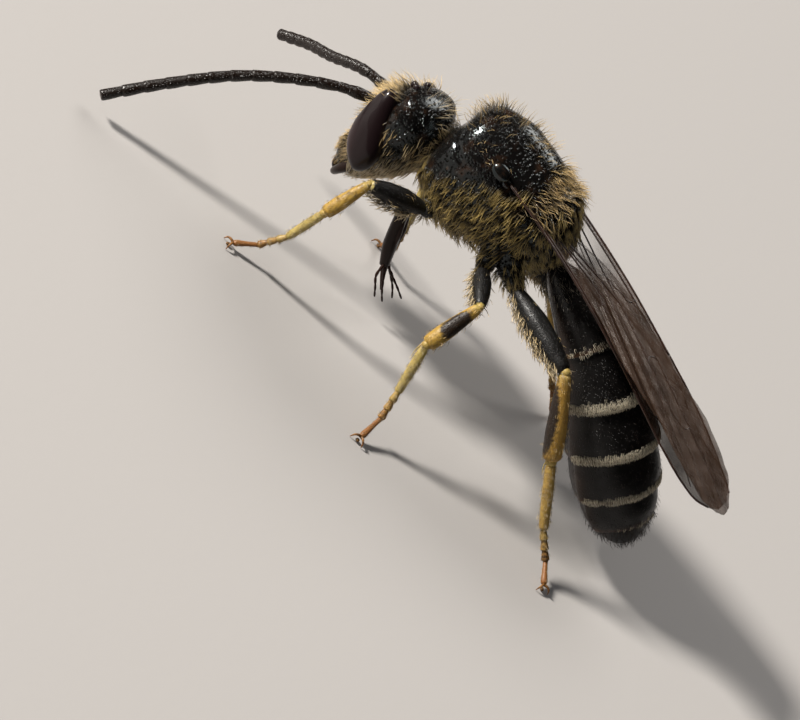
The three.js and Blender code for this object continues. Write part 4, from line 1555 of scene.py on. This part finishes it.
class BEE_OT_coat(bpy.types.Operator):
    """Comb the coat over the head, thorax, abdomen and legs, in tufts of fine hairs"""

    bl_idname = "bee.coat"
    bl_label = "Coat"

    def execute(self, context):
        coat = context.scene.bee_coat
        # Dark roots of the gold and olive hair: partly their own colour and partly painted shade deep in the
        # coat.
        dark = toned(coat.olive, 0.3)
        gold = bee_hair("gold_hair", coat, dark, coat.gold)
        olive = bee_hair("olive_hair", coat, toned(dark, 0.4), coat.honey, 0.9)
        cream = bee_hair("cream_hair", coat, toned(coat.cream, 0.45), coat.cream, 0.35)
        sable = bee_hair("sable_hair", coat, coat.sable, toned(coat.sable, 1.5))
        self.nodes = coat_nodes()
        self.coat = coat
        self.thorax(gold, olive)
        self.head(gold)
        self.abdomen(cream, sable)
        self.legs(gold)
        return {"FINISHED"}

    def comb(self, name, surface, lines, marks, material, tufts, style, disorder=0.25, evenness=0.6):
        """One coat piece of about so many tufts."""
        points, normals, faces = surface
        marks = {
            mark: value if np.ndim(value) else np.full(len(points), value) for mark, value in marks.items()
        }
        tufts = tufts * self.coat.depth * 1
        reach = float(np.average(marks["reach"], weights=marks["cover"] + 1e-9))
        shape = tuft_pattern(style, self.coat.hair / MM * style.width / reach, self.coat.seed)
        density = tufts / area_of(points, faces, marks["cover"])
        mesh = self.nodes.run(
            points, faces, {**marks, "outward": normals}, pattern=shape, material=material,
            density=float(density), disorder=disorder, evenness=evenness, seed=self.coat.seed + len(name),
        )
        bpy.data.objects.remove(shape)
        triangles = sum(len(face.vertices) - 2 for face in mesh.polygons)
        if triangles > TRIANGLE_LIMIT:
            raise RuntimeError(f"{name} has {triangles} triangles, more than {TRIANGLE_LIMIT}")
        local = np.hstack([read_mark(mesh, "along"), read_mark(mesh, "strand")])
        spots = unwrapped(read_mark(mesh, "root", "vector", 3), LINES[lines]) + (local - 0.5) * PATCH
        corners = np.empty(len(mesh.loops), int)
        mesh.loops.foreach_get("vertex_index", corners)
        mesh.uv_layers.new(name="OFBake").data.foreach_set("uv", spots[corners].ravel())
        mesh.attributes.remove(mesh.attributes["root"])
        finish_piece(name, in_solids_frame(mesh), material)

    def thorax(self, gold, olive):
        """A thin fringe on the back, a bush behind it, and matted tufts down the sides."""
        points, normals, _ = surface = SURFACES["skin"]
        x, back, height = points.T
        body = ~on_head(points) & (height > 2.75)
        rear = ramp(back, 1.05, 1.3)
        rim = np.clip(4.6 + 0.7 * back, 3.85, 4.95)  # height at which the bare back meets the furry sides
        over = np.where(back < 0.55, ramp(height - rim, -0.07, 0.05), ramp(normals[:, 2], 0.28, 0.5))
        over = over * (1 - rear)
        crest = ramp(back, 0.5, 0.62)
        brow = hump(back, -1.25, 0.2) * ramp(height, 4.6, 4.8)
        near = 0.6 * ramp(np.abs(x), 0.45, 0.75)
        dome = ramp(normals[:, 2], 0.15, 0.5) * ramp(height, 4.5, 4.7)
        dome = dome * (1 - 0.85 * ramp(np.abs(x), 0.25, 0.6))
        rearward = tangent((0, 1, 0.15), normals)
        forwardish = tangent((0, -1, 0.25), normals)
        marks = {
            "cover": body * over * np.clip(crest * (1 - near) + 0.2 * brow + 0.2 * dome, 0, 1),
            "reach": 0.33 + 0.03 * crest,
            "lie": unit(rearward * (1 - brow[:, None]) + forwardish * brow[:, None]),
            "stand": 0.85 - 0.25 * crest, "whiteness": 0.15,
        }
        style = Style(bold=2, fine=3, width=0.85, bend=0.25, splay=0.15, spread=0.3, gather=0.2)
        self.comb("bee_coat_back", surface, "thorax", marks, gold, 360, style, 0.3)
        for word, side in SIDES.items():
            half = body * (x * side > 0) * (1 - over)
            collar = (1 - ramp(back, -1.15, -0.85)) * ramp(height, 3.3, 3.7)
            bald = 0.85 * hump(back, 0.95, 0.28) * hump(height, 3.5, 0.4)
            bald = np.maximum(bald, 0.9 * hump(back, 0.55, 0.45) * (1 - ramp(height, 3.0, 3.35)))
            down = tangent((side * 0.25, 0.1, -1), normals)
            below = ramp(-normals[:, 2], 0.4, 0.8)
            lie = unit(down * (1 - below[:, None]) + tangent((0, 0.4, -0.6), normals) * below[:, None])
            behind = tangent((0, 0.8, -0.5), normals)
            lie = unit(lie * (1 - rear[:, None]) + behind * rear[:, None])
            marks = {
                "cover": half * (1 - 0.75 * collar) * (1 - bald) * (1 + 0.3 * rear),
                "reach": 0.38 - 0.1 * rear - 0.12 * collar, "lie": lie,
                "stand": 0.3 + 0.22 * below + 0.1 * rear, "whiteness": 0.08 * below + 0.1 * rear,
            }
            style = Style(bold=4, fine=1, width=1.3, bend=0.5, splay=0.09, spread=0.13, gather=0.9)
            self.comb(f"bee_coat_{word}", surface, "thorax", marks, olive, 840, style, 0.26)

    def head(self, gold):
        """A dense brush on the face, loose strands on the cheeks and an upright fringe on the crown."""
        points, normals, _ = surface = SURFACES["skin"]
        left, forward, up = in_head(points)
        _, head_forward, head_up = head_axes()
        inside = on_head(points)
        toward = normals @ head_forward
        face = inside * ramp(toward, 0.25, 0.6) * (1 - ramp(np.abs(left), 0.66, 0.82))
        cheek = inside * (1 - ramp(toward, 0.1, 0.35)) * (1 - ramp(up, 0.3, 0.6))
        low = 1 - ramp(up, -0.35, 0.2)
        crown = inside * ramp(normals @ head_up, 0.4, 0.7)
        crown = crown * (0.3 + 0.7 * (1 - ramp(forward, -0.25, 0.05)))
        down = tangent(-head_up + 0.2 * head_forward, normals)
        back = tangent(-head_forward + 0.5 * head_up, normals)
        marks = {
            "cover": face * (1 - ramp(up, 0.8, 0.98)), "reach": 0.24 + 0.26 * ramp(up, -0.4, 0.2),
            "lie": down, "stand": 0.62 + 0.2 * ramp(up, 0, 0.4), "whiteness": 0.22,
        }
        style = Style(bold=2, fine=4, width=0.8, bend=0.25, splay=0.18, spread=0.25, gather=0.1)
        self.comb("bee_coat_face", surface, "head", marks, gold, 900, style, 0.3)
        sweep = tangent(-head_up, normals)
        marks = {
            "cover": cheek * (0.25 + 0.75 * low), "reach": 0.28 + 0.08 * low, "lie": sweep,
            "stand": 0.24, "whiteness": 0.25 + 0.35 * low,
        }
        style = Style(bold=2, fine=0, width=1.4, bend=0.12, splay=0.04, spread=0.3, gather=0.0)
        self.comb("bee_coat_cheeks", surface, "head", marks, gold, 600, style, 0.08)
        marks = {
            "cover": crown * (1 - ramp(np.abs(left), 0.2, 0.5)), "reach": 0.42, "lie": back,
            "stand": 0.93, "whiteness": 0.6,
        }
        style = Style(bold=3, fine=1, width=0.6, bend=0.08, splay=0.14, spread=0.6, gather=0.0)
        self.comb("bee_coat_crown", surface, "head", marks, gold, 26, style, 0.14)
        points, normals, _ = surface = SURFACES["clypeus"]
        up = in_head(points)[2]
        marks = {
            "cover": ramp(normals @ head_forward, 0, 0.4) * (0.15 + 0.85 * ramp(up, -1.1, -0.85)),
            "reach": 0.17, "lie": tangent(-head_up + 0.2 * head_forward, normals),
            "stand": 0.45, "whiteness": 0.1,
        }
        style = Style(bold=3, fine=3, width=0.9, bend=0.3, splay=0.16, spread=0.22, gather=0.2)
        self.comb("bee_coat_clypeus", surface, "head", marks, gold, 150, style, 0.3)

    def abdomen(self, cream, sable):
        """A pale band before each rear margin, and dark bristles that thicken toward the tail."""
        surface = SURFACES["abdomen"]
        normals = surface[1]
        shares = SURFACES["abdomen_shares"]
        knots = np.linspace(0, 1, 101)
        toward = np.gradient(along(ABDOMEN_SPINE, knots), axis=0)
        ahead = unit(np.column_stack([np.interp(shares, knots, column) for column in toward.T]))
        lie = tangent(ahead, normals)
        dorsal = ramp(normals[:, 2] + 0.35 * np.abs(normals[:, 0]), -0.25, 0.1)
        band = sum(
            fullness * ramp(shares, margin - width, margin - width * 0.7) * (shares <= margin + 1e-4)
            for margin, (width, fullness) in zip(TERGITE_MARGINS, BANDS)
        )
        marks = {"cover": band * dorsal, "reach": 0.11, "lie": lie, "stand": 0.1, "whiteness": 0.8}
        style = Style(bold=2, fine=3, width=0.85, bend=0.1, splay=0.1, spread=0.34, gather=0.0)
        self.comb("bee_coat_bands", surface, "abdomen", marks, cream, 2600, style, 0.1)
        tail = ramp(shares, 0.8, 0.97)
        front = 1 - ramp(shares, 0.08, 0.2)
        marks = {
            "cover": 0.25 + 0.5 * tail + 0.3 * front, "reach": 0.09 + 0.1 * tail + 0.1 * front, "lie": lie,
            "stand": 0.3 + 0.15 * tail, "whiteness": 0.25 * front,
        }
        style = Style(bold=2, fine=1, width=0.55, bend=0.15, splay=0.2, spread=0.5, gather=0.0)
        self.comb("bee_coat_bristles", surface, "abdomen", marks, sable, 2200, style, 0.3)

    def legs(self, gold):
        """Short down, with a longer fringe under the thighs."""
        for word in SIDES:
            points, faces, marks = SURFACES[f"legs_{word}"]
            mesh = new_mesh("measured", points, faces, {}, own_frame=True)
            points, normals, faces = mesh_arrays(mesh)
            bpy.data.meshes.remove(mesh)
            fur = marks["fur"]
            style = Style(bold=2, fine=2, width=0.6, bend=0.25, splay=0.18, spread=0.4, gather=0.0)
            under = marks.get("under", 0) * ramp(-normals[:, 2], 0.1, 0.6)
            combed = {
                "cover": (fur > 0) * (1 - marks["patch"]) * (
                    0.14 * (1 - 0.9 * marks["dark"]) + 0.65 * under + 0.55 * (fur < 0.12)
                ),
                "reach": fur * (1 + 0.8 * under),
                "lie": tangent(marks["ahead"], normals),
                "stand": 0.3 + 0.15 * under, "whiteness": 0.2 + 0.35 * under + 0.35 * (fur < 0.12),
            }
            own = (points, normals, faces)
            self.comb(f"bee_coat_legs_{word}", own, f"legs_{word}", combed, gold, 1400, style, 0.36)


# ---- Stage ----

VIEW_HEIGHT = 28  # degrees above the floor
VIEW_ROLL = 48.3  # degrees
VIEW_DISTANCE = 0.12
VIEW_AIM = (1.24, -3.84)  # right and up of the thorax's middle, in millimetres
THORAX_MIDDLE = (0, 0, 4.1)
LENS = 270
SENSOR = 36
FLOOR_HALF = 1.0


class BEE_OT_stage(bpy.types.Operator):
    """Lay the floor and set up the camera and lights"""

    bl_idname = "bee.stage"
    bl_label = "Stage"

    def execute(self, context):
        stage = context.scene.bee_stage
        rise = math.radians(VIEW_HEIGHT)
        toward = Vector((math.cos(rise), 0, math.sin(rise)))
        level = Vector((0, 1, 0))
        upright = Vector((-math.sin(rise), 0, math.cos(rise)))
        roll = math.radians(VIEW_ROLL)
        right = level * math.cos(roll) + upright * math.sin(roll)
        up = upright * math.cos(roll) - level * math.sin(roll)
        middle = Vector(THORAX_MIDDLE) + level * VIEW_AIM[0] + upright * VIEW_AIM[1]
        aim = (middle + Vector(ANCHOR)) * MM
        self.camera(context, aim, toward, right, up)
        self.floor(stage)
        over = toward * 0.45 + up * 0.85 - right * 0.3
        beside = toward * 0.9 - up * 0.1 - right * 0.6
        behind = up * 0.7 + right * 0.75 - toward * 0.4
        self.light("Key", aim, over, 0.3, 0.05, 1.9 * stage.key, (1, 0.96, 0.9))
        self.light("Fill", aim, beside, 0.32, 0.3, 0.22 * stage.fill, (0.9, 0.95, 1))
        self.light("Rim", aim, behind, 0.3, 0.16, 0.4 * stage.rim, (1, 0.97, 0.93))
        self.room(context)
        context.scene.view_settings.view_transform = "Standard"
        return {"FINISHED"}

    def room(self, context):
        """Faint light from all round, which the shell doesn't mirror."""
        world = bpy.data.worlds.new("soft_room")
        world.use_nodes = True
        background = world.node_tree.nodes["Background"]
        background.inputs["Color"].default_value = (0.88, 0.9, 0.95, 1)
        background.inputs["Strength"].default_value = 0.16
        world.cycles_visibility.glossy = False
        context.scene.world = world

    def camera(self, context, aim, toward, right, up):
        data = bpy.data.cameras.new("bee_camera")
        data.lens = LENS
        data.sensor_width = SENSOR
        data.clip_start = 0.001
        data.clip_end = 10
        camera = bpy.data.objects.new("bee_camera", data)
        context.scene.collection.objects.link(camera)
        turned = Matrix((right, up, toward)).transposed().to_4x4()
        camera.matrix_world = Matrix.Translation(aim + toward * VIEW_DISTANCE) @ turned
        context.scene.camera = camera

    def floor(self, stage):
        corners = [(x * FLOOR_HALF, y * FLOOR_HALF, 0) for x, y in ((-1, -1), (1, -1), (1, 1), (-1, 1))]
        mesh = bpy.data.meshes.new("floor")
        mesh.from_pydata(corners, [], [(0, 1, 2, 3)])
        finish = Finish("floor", roughness=0.75, specular_ior_level=0.25)
        finish.bump(finish.noise(4), 0.002)
        mesh.materials.append(finish.set(base_color=stage.floor))
        floor = add_object("floor", mesh)

    def light(self, name, aim, direction, distance, width, power, tone):
        """A round lamp, metres wide and away; the bee's shell mirrors all but the filling one."""
        data = bpy.data.lights.new(name, "AREA")
        data.shape = "DISK"
        data.size = width
        data.energy = power
        data.color = tone
        lamp = bpy.data.objects.new(name, data)
        bpy.context.scene.collection.objects.link(lamp)
        direction = Vector(direction).normalized()
        turned = direction.to_track_quat("Z", "Y").to_matrix().to_4x4()
        lamp.matrix_world = Matrix.Translation(aim + direction * distance) @ turned
        lamp.visible_camera = False
        lamp.visible_glossy = name != "Fill"


# ---- The add-on ----


class BEE_PT_panel(bpy.types.Panel):
    """The bee's pieces, sizes and colours"""

    bl_idname = "BEE_PT_panel"
    bl_label = "Furrow Bee"
    bl_space_type = "VIEW_3D"
    bl_region_type = "UI"
    bl_category = "Bee"

    def draw(self, context):
        for operator in OPERATORS:
            self.layout.operator(operator.bl_idname)
        for name, group in GROUPS.items():
            box = self.layout.box()
            box.label(text=name.split("_")[1].capitalize())
            for choice in group.__annotations__:
                box.prop(getattr(context.scene, name), choice)


OPERATORS = (
    BEE_OT_skin, BEE_OT_eyes, BEE_OT_mouth, BEE_OT_feelers, BEE_OT_abdomen, BEE_OT_legs,
    BEE_OT_wings, BEE_OT_coat, BEE_OT_stage,
)
GROUPS = {
    "bee_shell": BeeShell, "bee_feelers": BeeFeelers, "bee_wings": BeeWings,
    "bee_coat": BeeCoat, "bee_stage": BeeStage,
}


def register():
    for kind in (*GROUPS.values(), *OPERATORS, BEE_PT_panel):
        bpy.utils.register_class(kind)
    for name, group in GROUPS.items():
        setattr(bpy.types.Scene, name, PointerProperty(type=group))


def unregister():
    for name in GROUPS:
        delattr(bpy.types.Scene, name)
    for kind in reversed((*GROUPS.values(), *OPERATORS, BEE_PT_panel)):
        bpy.utils.unregister_class(kind)


def main():
    register()
    for operator in OPERATORS:
        area, name = operator.bl_idname.split(".")
        getattr(getattr(bpy.ops, area), name)()


if __name__ == "__main__":
    main()
